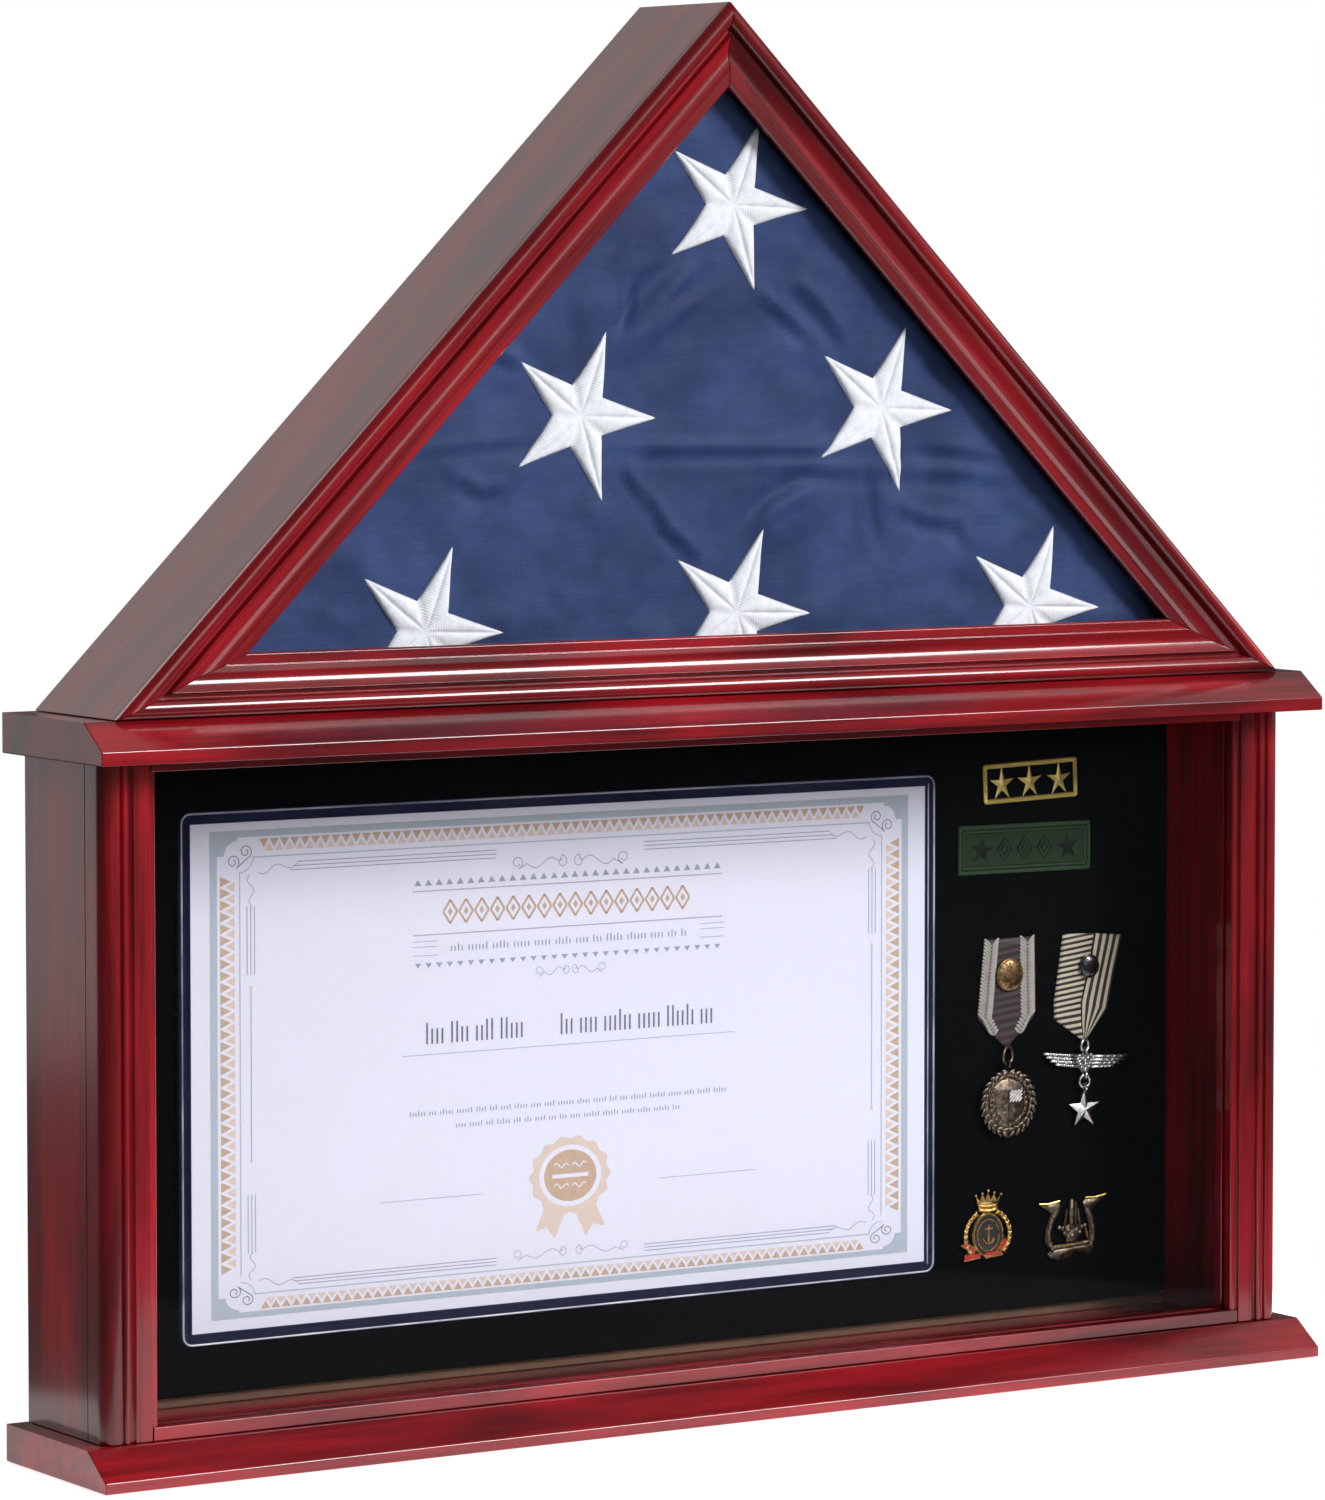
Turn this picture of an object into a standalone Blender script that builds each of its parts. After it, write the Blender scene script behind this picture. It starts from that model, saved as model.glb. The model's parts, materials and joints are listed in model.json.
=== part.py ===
"""Folded flag display case: a triangular flag case standing on a glazed shadow box.

Metres, +Z up. The origin is the middle of the base board's underside. +X runs along the
base board and the glass faces -Y. Both backs lift off towards +Y once their turn buttons
are turned clear, which is how they stand here.
"""

import math

import bmesh
import bpy

GAP = 0.0003  # left between two pieces that touch
WELD = 1e-6  # points closer than this are joined

# Boards above and below the shadow box
BOARD_WIDTH = 0.660
BOARD_DEPTH = 0.095
BEVEL_RUN = 0.0168
BOARD_EASE = 0.0006
BASE_THICKNESS = 0.0168
BASE_LIP = 0.0049
TOP_THICKNESS = 0.0180
TOP_LIP = 0.0062

# Shadow box
CABINET_WIDTH = 0.640
CABINET_HEIGHT = 0.2972
CABINET_SETBACK = 0.0196
SIDE_THICKNESS = 0.018
STILE_DEPTH = 0.016
STILE_WIDTH = 0.0273
STILE_STEP = 0.0236
GLASS_RABBET = 0.0073
GLASS_SEAT = 0.0085
CABINET_GLASS = 0.0025
STOP_DEPTH = 0.0052
STRIP_EASE = 0.0004
RAIL_HEIGHT = 0.0059
TOP_RAIL_HEIGHT = 0.0046
CABINET_REBATE = 0.006

# Stile moulding: distance in from its outer side, and drop behind its face
STILE_SHOULDER = 0.0065
STILE_QUIRK = ((0.0080, 0), (0.0086, 0.0016), (0.0096, 0.0016))
STILE_BEAD = (0.0114, 0.0014, 0.0015)
STILE_COVE = ((0.0133, 0.0022), (0.0143, 0.0020), (0.0152, 0.0012))
STILE_FLAT = (0.0157, 0.0004)
STEP_DROP = 0.0024
LIP_CHAMFER = 0.0006

# Backs, set in so that the turn buttons stay within the boards' depth
BACK_SETBACK = 0.0023
BACK_THICKNESS = 0.003
DISPLAY_THICKNESS = 0.003
DISPLAY_LIFT = 0.0052

# Flag case: a right-angled triangle on its long side
FLAG_WIDTH = 0.630
FLAG_WALL = 0.012
FLAG_SETBACK = 0.0192
FLAG_GLASS = 0.002
FLAG_REBATE = 0.005
FLAG_THICKNESS = 0.062
FLAG_CLEARANCE = 0.0015
FLAG_ROUNDING = 0.005

# Moulding round the flag: distance in from its outer edge, height in front of its back
FRAME_BASE = 0.0020
BEAD_RADIUS = 0.00415
QUIRK_FLOOR = 0.0018
ARRIS = (0.0109, 0.0046)
SCOOP_END = (0.0218, 0.0034)
SCOOP_SAG = 0.0022
SCOOP_STEPS = 10
QUIRK = (0.0086, 0.0100)
FRAME_FLAT = 0.0030
FLAT_SPAN = (0.0221, 0.0264)
FRAME_WIDTH = 0.0272
INNER_DROP = 0.0008

# Turn buttons and their screws
BUTTON_THICKNESS = 0.001
CABINET_BUTTON = (0.026, 0.008)
FLAG_BUTTON = (0.023, 0.006)
SCREW_RADIUS = 0.0012
SCREW_HEAD = (0.0023, 0.0009)
SCREW_LENGTH = 0.010
HEAD_ANGLES = (0, 26, 52, 75)
CABINET_BUTTON_HEIGHTS = (0.095, 0.235)

# Screws that hold the flag case down on the top board
CASE_SCREW_X = 0.180
CASE_SCREW_Y = 0.010
CASE_SCREW_RADIUS = 0.002
CASE_SCREW_HEAD = (0.004, 0.003)
CASE_SCREW_LENGTH = 0.026

# Contents: centre or edges on the display board, as x and z
SLEEVE = (-0.248, 0.161, 0.0445, 0.2845)
SLEEVE_THICKNESS = 0.003
SLEEVE_WALL = 0.0009
SLEEVE_CORNER = 0.005
PAPER_MARGIN = 0.0055
PAPER_THICKNESS = 0.0005
GOLD_PATCH = (0.2182, 0.2789, 0.0567, 0.0200, 1.9)
GREEN_PATCH = (0.2150, 0.2464, 0.0785, 0.0243, -0.3)
PATCH_THICKNESS = 0.0012
PATCH_CORNER = 0.0015
RIBBON_THICKNESS = 0.001
PLUM_RIBBON = (
    (0.1909, 0.2030), (0.2206, 0.2034), (0.2217, 0.1648), (0.2042, 0.1500), (0.1867, 0.1646),
)
STRIPED_RIBBON = (
    (0.2378, 0.2034), (0.2736, 0.2010), (0.2645, 0.1646), (0.2503, 0.1506), (0.2327, 0.1622),
)
LARGE_RING = 0.0042
SMALL_RING = 0.0030
RING_WIRE = 0.0008
EYE_RADIUS = 0.0018
EYE_WIRE = 0.0006
MEDALLION = (0.2040, 0.1232, 0.0170, 0.003)
MEDALLION_RIM = 0.9
STUD_BUTTON = (0.2054, 0.1855, 0.0080, 0.0028)
SMALL_STUD = (0.2532, 0.1868, 0.0058, 0.0026)
STUD_STEPS = (0, 0.35, 0.65, 0.85, 0.97)
STUD_FULLNESS = 0.9
WINGS = (0.2500, 0.1405, 0.0505, 0.0100)
WINGS_TILT = -4.5
STAR_RADIUS = 0.0096
STAR_NOTCH = 0.42
TRINKET_THICKNESS = 0.002
CORONET_PIN = (0.1923, 0.0638, 0.0300, 0.0362)
LYRE_PIN = (0.2439, 0.0587, 0.0406, 0.0312)
PIN_THICKNESS = 0.0018

# Levels and planes that follow from the sizes above
FRONT = -BOARD_DEPTH / 2
CABINET_FRONT = FRONT + CABINET_SETBACK
CASE_BACK = BOARD_DEPTH / 2 - BACK_SETBACK
STILE_BACK = CABINET_FRONT + STILE_DEPTH
GLASS_FACE = STILE_BACK - GLASS_SEAT + GAP
CABINET_FLOOR = BASE_THICKNESS
CABINET_CEILING = CABINET_FLOOR + CABINET_HEIGHT
FLAG_FLOOR = CABINET_CEILING + TOP_THICKNESS + GAP
FRAME_BACK = FRONT + FLAG_SETBACK
BACK_FRONT = CASE_BACK - GAP - BACK_THICKNESS
DISPLAY_FRONT = BACK_FRONT - GAP - DISPLAY_THICKNESS
INNER_X = CABINET_WIDTH / 2 - SIDE_THICKNESS
OPENING_X = CABINET_WIDTH / 2 - STILE_WIDTH
HALF_FLAG = FLAG_WIDTH / 2
BASE_MITRE = 1 + math.sqrt(2)

PALETTE = {
    "cherry": ((0.20, 0.012, 0.018), 0.22, 0.0),
    "glass": ((0.90, 0.95, 0.95), 0.03, 0.0),
    "flag_cloth": ((0.035, 0.055, 0.16), 0.85, 0.0),
    "felt": ((0.006, 0.006, 0.006), 0.95, 0.0),
    "hardboard": ((0.11, 0.045, 0.025), 0.70, 0.0),
    "zinc": ((0.60, 0.60, 0.58), 0.35, 1.0),
    "clear_plastic": ((0.85, 0.88, 0.95), 0.10, 0.0),
    "paper": ((0.78, 0.78, 0.88), 0.80, 0.0),
    "gold_cloth": ((0.50, 0.33, 0.08), 0.60, 0.0),
    "green_cloth": ((0.035, 0.075, 0.03), 0.85, 0.0),
    "plum_ribbon": ((0.12, 0.03, 0.06), 0.60, 0.0),
    "striped_ribbon": ((0.62, 0.58, 0.48), 0.60, 0.0),
    "brass": ((0.55, 0.38, 0.14), 0.35, 1.0),
    "bronze": ((0.24, 0.13, 0.06), 0.40, 1.0),
    "silver": ((0.66, 0.66, 0.64), 0.30, 1.0),
}


# Scene, materials and grouping

def clear_scene():
    for obj in list(bpy.data.objects):
        bpy.data.objects.remove(obj, do_unlink=True)


def new_collection(name, hidden=False):
    collection = bpy.data.collections.new(name)
    bpy.context.scene.collection.children.link(collection)
    collection.hide_render = hidden
    return collection


def finish_material(name):
    made = bpy.data.materials.get(name)
    if made:
        return made
    colour, roughness, metallic = PALETTE[name]
    made = bpy.data.materials.new(name)
    made.use_nodes = True
    shader = made.node_tree.nodes["Principled BSDF"]
    shader.inputs["Base Color"].default_value = (*colour, 1.0)
    shader.inputs["Roughness"].default_value = roughness
    shader.inputs["Metallic"].default_value = metallic
    made.diffuse_color = (*colour, 1.0)
    return made


def move_to(obj, collection):
    for owner in list(obj.users_collection):
        owner.objects.unlink(obj)
    collection.objects.link(obj)


def keep(obj, name, material, parent=None):
    """Names a finished piece, gives it its material and files it with the parts."""
    obj.name = name
    obj.data.name = name
    obj.data.materials.clear()
    obj.data.materials.append(finish_material(material))
    move_to(obj, PARTS)
    if parent:
        obj.parent = parent
        obj.matrix_parent_inverse = parent.matrix_world.inverted()
    return obj


def pivot(name, location, parent=None):
    """An empty on a moving piece's axis."""
    empty = bpy.data.objects.new(name, None)
    empty.empty_display_size = 0.01
    PARTS.objects.link(empty)
    empty.location = location
    if parent:
        empty.parent = parent
        empty.matrix_parent_inverse = parent.matrix_world.inverted()
    bpy.context.view_layer.update()
    return empty


# Shapes

def box(low, high):
    """A cuboid between two corners, with its origin at its middle."""
    bpy.ops.mesh.primitive_cube_add(size=1)
    obj = bpy.context.object
    for vertex in obj.data.vertices:
        for axis in range(3):
            vertex.co[axis] *= high[axis] - low[axis]
    obj.location = [(a + b) / 2 for a, b in zip(low, high)]
    return obj


def weld(mesh):
    work = bmesh.new()
    work.from_mesh(mesh)
    bmesh.ops.remove_doubles(work, verts=work.verts, dist=WELD)
    bmesh.ops.recalc_face_normals(work, faces=work.faces)
    work.to_mesh(mesh)
    work.free()


def prism(outline, length):
    """The outline, drawn in local X and Y, extruded along local Z and centred on it."""
    curve = bpy.data.curves.new("outline", "CURVE")
    curve.dimensions = "2D"
    curve.fill_mode = "BOTH"
    curve.extrude = length / 2
    spline = curve.splines.new("POLY")
    spline.points.add(len(outline) - 1)
    for point, (x, y) in zip(spline.points, outline):
        point.co = (x, y, 0, 1)
    spline.use_cyclic_u = True
    drawn = bpy.data.objects.new("outline", curve)
    bpy.context.scene.collection.objects.link(drawn)
    bpy.context.view_layer.update()
    evaluated = drawn.evaluated_get(bpy.context.evaluated_depsgraph_get())
    mesh = bpy.data.meshes.new_from_object(evaluated)
    bpy.data.objects.remove(drawn)
    weld(mesh)
    obj = bpy.data.objects.new("prism", mesh)
    bpy.context.scene.collection.objects.link(obj)
    return obj


def plate(outline, front, thickness):
    """A flat piece facing -Y, its outline given as x and z."""
    obj = prism(outline, thickness)
    obj.rotation_euler = (math.pi / 2, 0, 0)
    obj.location = (0, front + thickness / 2, 0)
    return obj


def mitre(obj, low_cut, high_cut):
    """Draws each end of a prism in by its cut for each unit of local X."""
    for vertex in obj.data.vertices:
        cut = -high_cut if vertex.co.z > 0 else low_cut
        vertex.co.z += vertex.co.x * cut


def turned(profile, steps=32):
    """A profile of radius and height, from the top down its outer side, turned about local Z."""
    mesh = bpy.data.meshes.new("turned")
    edges = [(i, i + 1) for i in range(len(profile) - 1)]
    mesh.from_pydata([(r, 0, z) for r, z in profile], edges, [])
    obj = bpy.data.objects.new("turned", mesh)
    bpy.context.scene.collection.objects.link(obj)
    screw = obj.modifiers.new("turn", "SCREW")
    screw.steps = steps
    screw.render_steps = steps
    screw.use_merge_vertices = True
    screw.merge_threshold = 10 * WELD
    screw.use_smooth_shade = True
    return obj


def torus(radius, wire, location, rotation=(math.pi / 2, 0, 0)):
    """A wire ring. Unturned, it lies across the view from the front."""
    bpy.ops.mesh.primitive_torus_add(
        major_radius=radius, minor_radius=wire, major_segments=20, minor_segments=8,
        location=location, rotation=rotation,
    )
    bpy.context.object.data.shade_smooth()
    return bpy.context.object


def arc(centre, radius, start, end, steps):
    """Points on an arc, its angles in degrees."""
    angles = [math.radians(start + (end - start) * i / steps) for i in range(steps + 1)]
    return [(centre[0] + radius * math.cos(a), centre[1] + radius * math.sin(a)) for a in angles]


def rounded_rectangle(x, z, width, height, radius, tilt=0.0):
    """A rectangle with round corners about a middle, turned by tilt degrees."""
    corners = ((1, 1, 0), (-1, 1, 90), (-1, -1, 180), (1, -1, 270))
    points = []
    for side, level, angle in corners:
        centre = (side * (width / 2 - radius), level * (height / 2 - radius))
        points += arc(centre, radius, angle, angle + 90, 4)
    return placed(points, x, z, tilt)


def placed(points, x, z, tilt=0.0):
    """The points turned by tilt degrees and moved so that their origin is at x and z."""
    c = math.cos(math.radians(tilt))
    s = math.sin(math.radians(tilt))
    return [(x + u * c - v * s, z + u * s + v * c) for u, v in points]


def mirrored(half, width, height):
    """A closed outline from its right half, drawn top to bottom in shares of its size."""
    right = [(width * u, height * v) for u, v in half]
    left = [(-width * u, height * v) for u, v in reversed(half[1:-1])]
    return right + left


def star_outline(x, z, radius):
    points = []
    for i in range(10):
        reach = radius if i % 2 == 0 else radius * STAR_NOTCH
        angle = math.radians(90 + 36 * i)
        points.append((x + reach * math.cos(angle), z + reach * math.sin(angle)))
    return points


def ease(obj, width, segments=2, angle=30):
    """Rounds the piece's sharp edges."""
    bevel = obj.modifiers.new("ease", "BEVEL")
    bevel.width = width
    bevel.segments = segments
    bevel.limit_method = "ANGLE"
    bevel.angle_limit = math.radians(angle)
    return obj


def smooth(obj, angle=40):
    obj.data.shade_smooth()
    obj.data.set_sharp_from_angle(angle=math.radians(angle))
    return obj


def combine(obj, tool, operation):
    """Cuts a tool out of a piece, or joins it on."""
    tool.name = "tool"
    tool.hide_render = True
    tool.display_type = "WIRE"
    move_to(tool, CUTTERS)
    boolean = obj.modifiers.new(operation.lower(), "BOOLEAN")
    boolean.operation = operation
    boolean.solver = "EXACT"
    boolean.object = tool
    return obj


def bore(obj, centre, radius, length, rotation=(0, 0, 0)):
    """A round hole whose middle is at centre."""
    bpy.ops.mesh.primitive_cylinder_add(
        vertices=16, radius=radius, depth=length, location=centre, rotation=rotation
    )
    return combine(obj, bpy.context.object, "DIFFERENCE")


# Boards and the shadow box

def bevelled_board(thickness, lip):
    """A board whose long front edge slopes down to a thin lip."""
    outline = [
        (FRONT, 0),
        (FRONT, lip),
        (FRONT + BEVEL_RUN, thickness),
        (BOARD_DEPTH / 2, thickness),
        (BOARD_DEPTH / 2, 0),
    ]
    board = prism(outline, BOARD_WIDTH)
    board.rotation_euler = (math.pi / 2, 0, math.pi / 2)
    return ease(board, BOARD_EASE)


def base_board():
    keep(bevelled_board(BASE_THICKNESS, BASE_LIP), "base_board", "cherry")


def top_board():
    board = bevelled_board(TOP_THICKNESS, TOP_LIP)
    board.location.z = CABINET_CEILING
    for side in (-1, 1):
        x = side * CASE_SCREW_X
        middle = CABINET_CEILING + TOP_THICKNESS / 2
        bore(board, (x, CASE_SCREW_Y, middle), CASE_SCREW_RADIUS + GAP, 2 * TOP_THICKNESS)
        seat = CASE_SCREW_HEAD[1] + GAP
        bore(board, (x, CASE_SCREW_Y, CABINET_CEILING), CASE_SCREW_HEAD[0] + GAP, 2 * seat)
    keep(board, "top_board", "cherry")


def side_panel(name, side):
    """A side of the shadow box, with a rebate for the back panel."""
    rebate_floor = BACK_FRONT - GAP
    outline = [
        (INNER_X, STILE_BACK + GAP),
        (CABINET_WIDTH / 2, STILE_BACK + GAP),
        (CABINET_WIDTH / 2, CASE_BACK),
        (INNER_X + CABINET_REBATE, CASE_BACK),
        (INNER_X + CABINET_REBATE, rebate_floor),
        (INNER_X, rebate_floor),
    ]
    panel = prism([(side * x, y) for x, y in outline], CABINET_HEIGHT - 2 * GAP)
    panel.location.z = (CABINET_FLOOR + CABINET_CEILING) / 2
    for height in CABINET_BUTTON_HEIGHTS:
        drill_for_screw(panel, (side * cabinet_land(), height))
    keep(panel, name, "cherry")


def stile_profile():
    """Distance in from the outer side, and height in front of the stile's back."""
    face = STILE_DEPTH
    shoulder = arc((STILE_SHOULDER, face - STILE_SHOULDER), STILE_SHOULDER, 180, 90, 6)
    quirk = [(inward, face - drop) for inward, drop in STILE_QUIRK]
    bead_middle, bead_drop, bead_radius = STILE_BEAD
    bead = arc((bead_middle, face - bead_drop), bead_radius, 165, 0, 6)
    cove = [(inward, face - drop) for inward, drop in STILE_COVE]
    flat = [(STILE_FLAT[0], face - STILE_FLAT[1]), (STILE_STEP, face - STILE_FLAT[1])]
    step = face - STEP_DROP
    lip = [(STILE_STEP + GAP, step), (STILE_WIDTH - LIP_CHAMFER, step), (STILE_WIDTH, step - LIP_CHAMFER)]
    rabbet = STILE_WIDTH - GLASS_RABBET
    seat = [(STILE_WIDTH, GLASS_SEAT), (rabbet, GLASS_SEAT), (rabbet, 0), (0, 0)]
    return shoulder + quirk + bead + cove + flat + lip + seat


def stile(name, side):
    """An upright moulding in front of a side panel, with a rabbet for the glass."""
    outline = [
        (side * (CABINET_WIDTH / 2 - inward), STILE_BACK - forward)
        for inward, forward in stile_profile()
    ]
    upright = prism(outline, CABINET_HEIGHT - 2 * GAP)
    upright.location.z = (CABINET_FLOOR + CABINET_CEILING) / 2
    keep(smooth(upright), name, "cherry")


def rail(name, low, high):
    """A thin strip between the stiles. Its front laps over their inner steps."""
    step_x = CABINET_WIDTH / 2 - STILE_STEP - 2 * GAP
    body_x = OPENING_X - GAP
    front = CABINET_FRONT + STILE_FLAT[1]
    shoulder = CABINET_FRONT + STEP_DROP - GAP
    back = STILE_BACK - GLASS_SEAT
    half = [(step_x, front), (step_x, shoulder), (body_x, shoulder), (body_x, back)]
    outline = half + [(-x, y) for x, y in reversed(half)]
    strip = prism(outline, high - low)
    strip.location.z = (low + high) / 2
    keep(ease(strip, STRIP_EASE, 2, 60), name, "cherry")


def rails():
    floor = CABINET_FLOOR + GAP
    ceiling = CABINET_CEILING - GAP
    rail("bottom_rail", floor, floor + RAIL_HEIGHT)
    rail("top_rail", ceiling - TOP_RAIL_HEIGHT, ceiling)


def cabinet_glass():
    half = CABINET_WIDTH / 2 - (STILE_WIDTH - GLASS_RABBET) - GAP
    low = (-half, GLASS_FACE, CABINET_FLOOR + GAP)
    high = (half, GLASS_FACE + CABINET_GLASS, CABINET_CEILING - GAP)
    keep(box(low, high), "cabinet_glass", "glass")


def glass_stops():
    """Small strips that hold the glass against the stiles and rails from behind."""
    front = GLASS_FACE + CABINET_GLASS + GAP
    back = front + STOP_DEPTH
    outer = OPENING_X + GLASS_RABBET - GAP
    inner = OPENING_X + 2 * GAP
    floor = CABINET_FLOOR + GAP
    ceiling = CABINET_CEILING - GAP
    spans = {
        "glass_stop_left": ((-outer, floor), (-inner, ceiling)),
        "glass_stop_right": ((inner, floor), (outer, ceiling)),
        "glass_stop_bottom": ((GAP - inner, floor), (inner - GAP, floor + RAIL_HEIGHT)),
        "glass_stop_top": ((GAP - inner, ceiling - TOP_RAIL_HEIGHT), (inner - GAP, ceiling)),
    }
    for name, (low, high) in spans.items():
        strip = box((low[0], front, low[1]), (high[0], back, high[1]))
        keep(ease(strip, STRIP_EASE), name, "cherry")


# Flag case

def flag_triangle(inset):
    """The three corners of the flag case's outline, set in by inset all round."""
    reach = HALF_FLAG - inset * BASE_MITRE
    floor = FLAG_FLOOR + inset
    apex = FLAG_FLOOR + HALF_FLAG - inset * math.sqrt(2)
    return [(-reach, floor), (reach, floor), (0, apex)]


def around_flag(shape, parts, finish=None):
    """Makes one mitred length along each side of the flag case."""
    middle = FLAG_FLOOR + HALF_FLAG / 2
    slope = HALF_FLAG * math.sqrt(2)
    sides = {
        parts[0]: (FLAG_WIDTH, (0, FLAG_FLOOR), -90, BASE_MITRE, BASE_MITRE),
        parts[1]: (slope, (-HALF_FLAG / 2, middle), 45, BASE_MITRE, 1),
        parts[2]: (slope, (HALF_FLAG / 2, middle), 135, 1, BASE_MITRE),
    }
    for name, (length, (x, z), turn, low_cut, high_cut) in sides.items():
        piece = prism(shape, length - 2 * GAP)
        mitre(piece, low_cut, high_cut)
        piece.location = (x, 0, z)
        piece.rotation_euler = (0, math.radians(turn), 0)
        bpy.context.view_layer.update()
        if finish:
            finish(piece, name)
        keep(smooth(piece), name, "cherry")


def wall_section():
    """Distance in from the outer face, and depth."""
    rebate_floor = BACK_FRONT - GAP
    land = FLAG_WALL - FLAG_REBATE
    return [
        (0, FRAME_BACK + GAP),
        (FLAG_WALL, FRAME_BACK + GAP),
        (FLAG_WALL, rebate_floor),
        (land, rebate_floor),
        (land, CASE_BACK),
        (0, CASE_BACK),
    ]


def frame_section():
    """The moulding: outer bead, quirk, arris, hollow scoop and inner flat."""
    bead = arc((BEAD_RADIUS, FRAME_BASE), BEAD_RADIUS, 180, 15, 10)
    quirk = [(inward, QUIRK_FLOOR) for inward in QUIRK]
    scoop = []
    for i in range(SCOOP_STEPS + 1):
        t = i / SCOOP_STEPS
        inward = ARRIS[0] + (SCOOP_END[0] - ARRIS[0]) * t
        chord = ARRIS[1] + (SCOOP_END[1] - ARRIS[1]) * t
        scoop.append((inward, chord - SCOOP_SAG * math.sin(math.pi * t)))
    flat = [(inward, FRAME_FLAT) for inward in FLAT_SPAN]
    ends = [(FRAME_WIDTH, FRAME_FLAT - INNER_DROP), (FRAME_WIDTH, 0), (0, 0)]
    points = bead + quirk + scoop + flat + ends
    return [(inward, FRAME_BACK - forward) for inward, forward in points]


def flag_walls():
    names = ("flag_case_bottom_board", "flag_case_left_panel", "flag_case_right_panel")
    around_flag(wall_section(), names, drill_wall)


def drill_wall(piece, name):
    """Pilot holes for the turn button's screw and, in the bottom, for the case screws."""
    drill_for_screw(piece, flag_button_place(name))
    if name != "flag_case_bottom_board":
        return
    depth = CASE_SCREW_LENGTH - TOP_THICKNESS + 2 * GAP
    for side in (-1, 1):
        centre = (side * CASE_SCREW_X, CASE_SCREW_Y, FLAG_FLOOR)
        bore(piece, centre, CASE_SCREW_RADIUS + GAP, 2 * depth)


def flag_frame():
    around_flag(frame_section(), ("flag_frame_bottom", "flag_frame_left", "flag_frame_right"))


def flag_glass():
    pane = plate(flag_triangle(FLAG_WALL + GAP), FRAME_BACK + GAP, FLAG_GLASS)
    keep(pane, "flag_glass", "glass")


def folded_flag():
    """The flag's plain outer form; its thickness is that of its folded layers."""
    front = FRAME_BACK + FLAG_GLASS + 3 * GAP
    block = plate(flag_triangle(FLAG_WALL + FLAG_CLEARANCE), front, FLAG_THICKNESS)
    keep(smooth(ease(block, FLAG_ROUNDING, 3)), "folded_flag", "flag_cloth")


# Backs, turn buttons and screws

def flag_back():
    hold = pivot("flag_back", (0, CASE_BACK, FLAG_FLOOR + HALF_FLAG / 3))
    inset = FLAG_WALL - FLAG_REBATE + GAP
    keep(plate(flag_triangle(inset), BACK_FRONT, BACK_THICKNESS), "flag_back_panel", "hardboard", hold)


def cabinet_back(hold):
    """The back panel, and the felt-covered board fixed to its front."""
    half = INNER_X + CABINET_REBATE - 2 * GAP
    floor = CABINET_FLOOR + GAP
    ceiling = CABINET_CEILING - GAP
    back = box((-half, BACK_FRONT, floor), (half, BACK_FRONT + BACK_THICKNESS, ceiling))
    keep(back, "cabinet_back_panel", "hardboard", hold)
    half = INNER_X - 2 * GAP
    low = (-half, DISPLAY_FRONT, CABINET_FLOOR + DISPLAY_LIFT)
    high = (half, DISPLAY_FRONT + DISPLAY_THICKNESS, ceiling - GAP)
    keep(ease(box(low, high), BOARD_EASE), "display_board", "felt", hold)


def cabinet_land():
    """Middle of the strip of side panel beside the back panel."""
    return (INNER_X + CABINET_REBATE + CABINET_WIDTH / 2) / 2


def flag_button_place(name):
    """Where a flag case button's screw goes, as x and z."""
    land = (FLAG_WALL - FLAG_REBATE) / 2
    middle = FLAG_FLOOR + HALF_FLAG / 2
    inward = land / math.sqrt(2)
    places = {
        "flag_case_bottom_board": (0, FLAG_FLOOR + land),
        "flag_case_left_panel": (-HALF_FLAG / 2 + inward, middle - inward),
        "flag_case_right_panel": (HALF_FLAG / 2 - inward, middle - inward),
    }
    return places[name]


def drill_for_screw(obj, place):
    reach = SCREW_LENGTH + GAP
    centre = (place[0], CASE_BACK, place[1])
    bore(obj, centre, SCREW_RADIUS + GAP, 2 * reach, (math.pi / 2, 0, 0))


def turn_button(name, place, size, turn):
    """A flat button turning on its screw, pointing along its piece's back edge."""
    length, width = size
    end = width / 2
    tip = length - 2 * end
    outline = arc((0, 0), end, 180, 360, 8) + arc((0, tip), end * 0.8, 0, 180, 6)
    button = prism(outline, BUTTON_THICKNESS)
    bore(button, (0, 0, 0), SCREW_RADIUS + GAP, 4 * BUTTON_THICKNESS)
    bpy.context.view_layer.update()
    tool = button.modifiers[-1].object
    tool.parent = button
    button.rotation_euler = (math.pi / 2, math.radians(turn), 0)
    button.location = (place[0], CASE_BACK + GAP / 2 + BUTTON_THICKNESS / 2, place[1])
    keep(button, name, "zinc")


def screw(name, location, rotation, size, head, material):
    """A screw along local Z with its tip down. Its head's underside is at the location."""
    radius, length = size
    head_radius, head_height = head
    angles = [math.radians(angle) for angle in HEAD_ANGLES]
    dome = [(head_radius * math.sin(a), head_height * math.cos(a)) for a in angles]
    point = [(radius, -length + 2 * radius), (0, -length)]
    profile = dome + [(head_radius, 0), (radius, 0)] + point
    made = turned(profile, 16)
    made.location = location
    made.rotation_euler = rotation
    keep(made, name, material)


def button_screw(name, place):
    seat = CASE_BACK + GAP + BUTTON_THICKNESS + GAP / 3
    size = (SCREW_RADIUS, SCREW_LENGTH)
    screw(name, (place[0], seat, place[1]), (-math.pi / 2, 0, 0), size, SCREW_HEAD, "zinc")


def turn_buttons():
    flag_places = {
        "bottom": ("flag_case_bottom_board", -90),
        "left": ("flag_case_left_panel", -135),
        "right": ("flag_case_right_panel", 135),
    }
    for side, (wall, turn) in flag_places.items():
        place = flag_button_place(wall)
        turn_button("flag_turn_button_" + side, place, FLAG_BUTTON, turn)
        button_screw("flag_button_screw_" + side, place)
    for side, word in ((-1, "left"), (1, "right")):
        for level, height in zip(("lower", "upper"), CABINET_BUTTON_HEIGHTS):
            place = (side * cabinet_land(), height)
            turn_button(f"cabinet_turn_button_{word}_{level}", place, CABINET_BUTTON, 180)
            button_screw(f"cabinet_button_screw_{word}_{level}", place)


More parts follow.
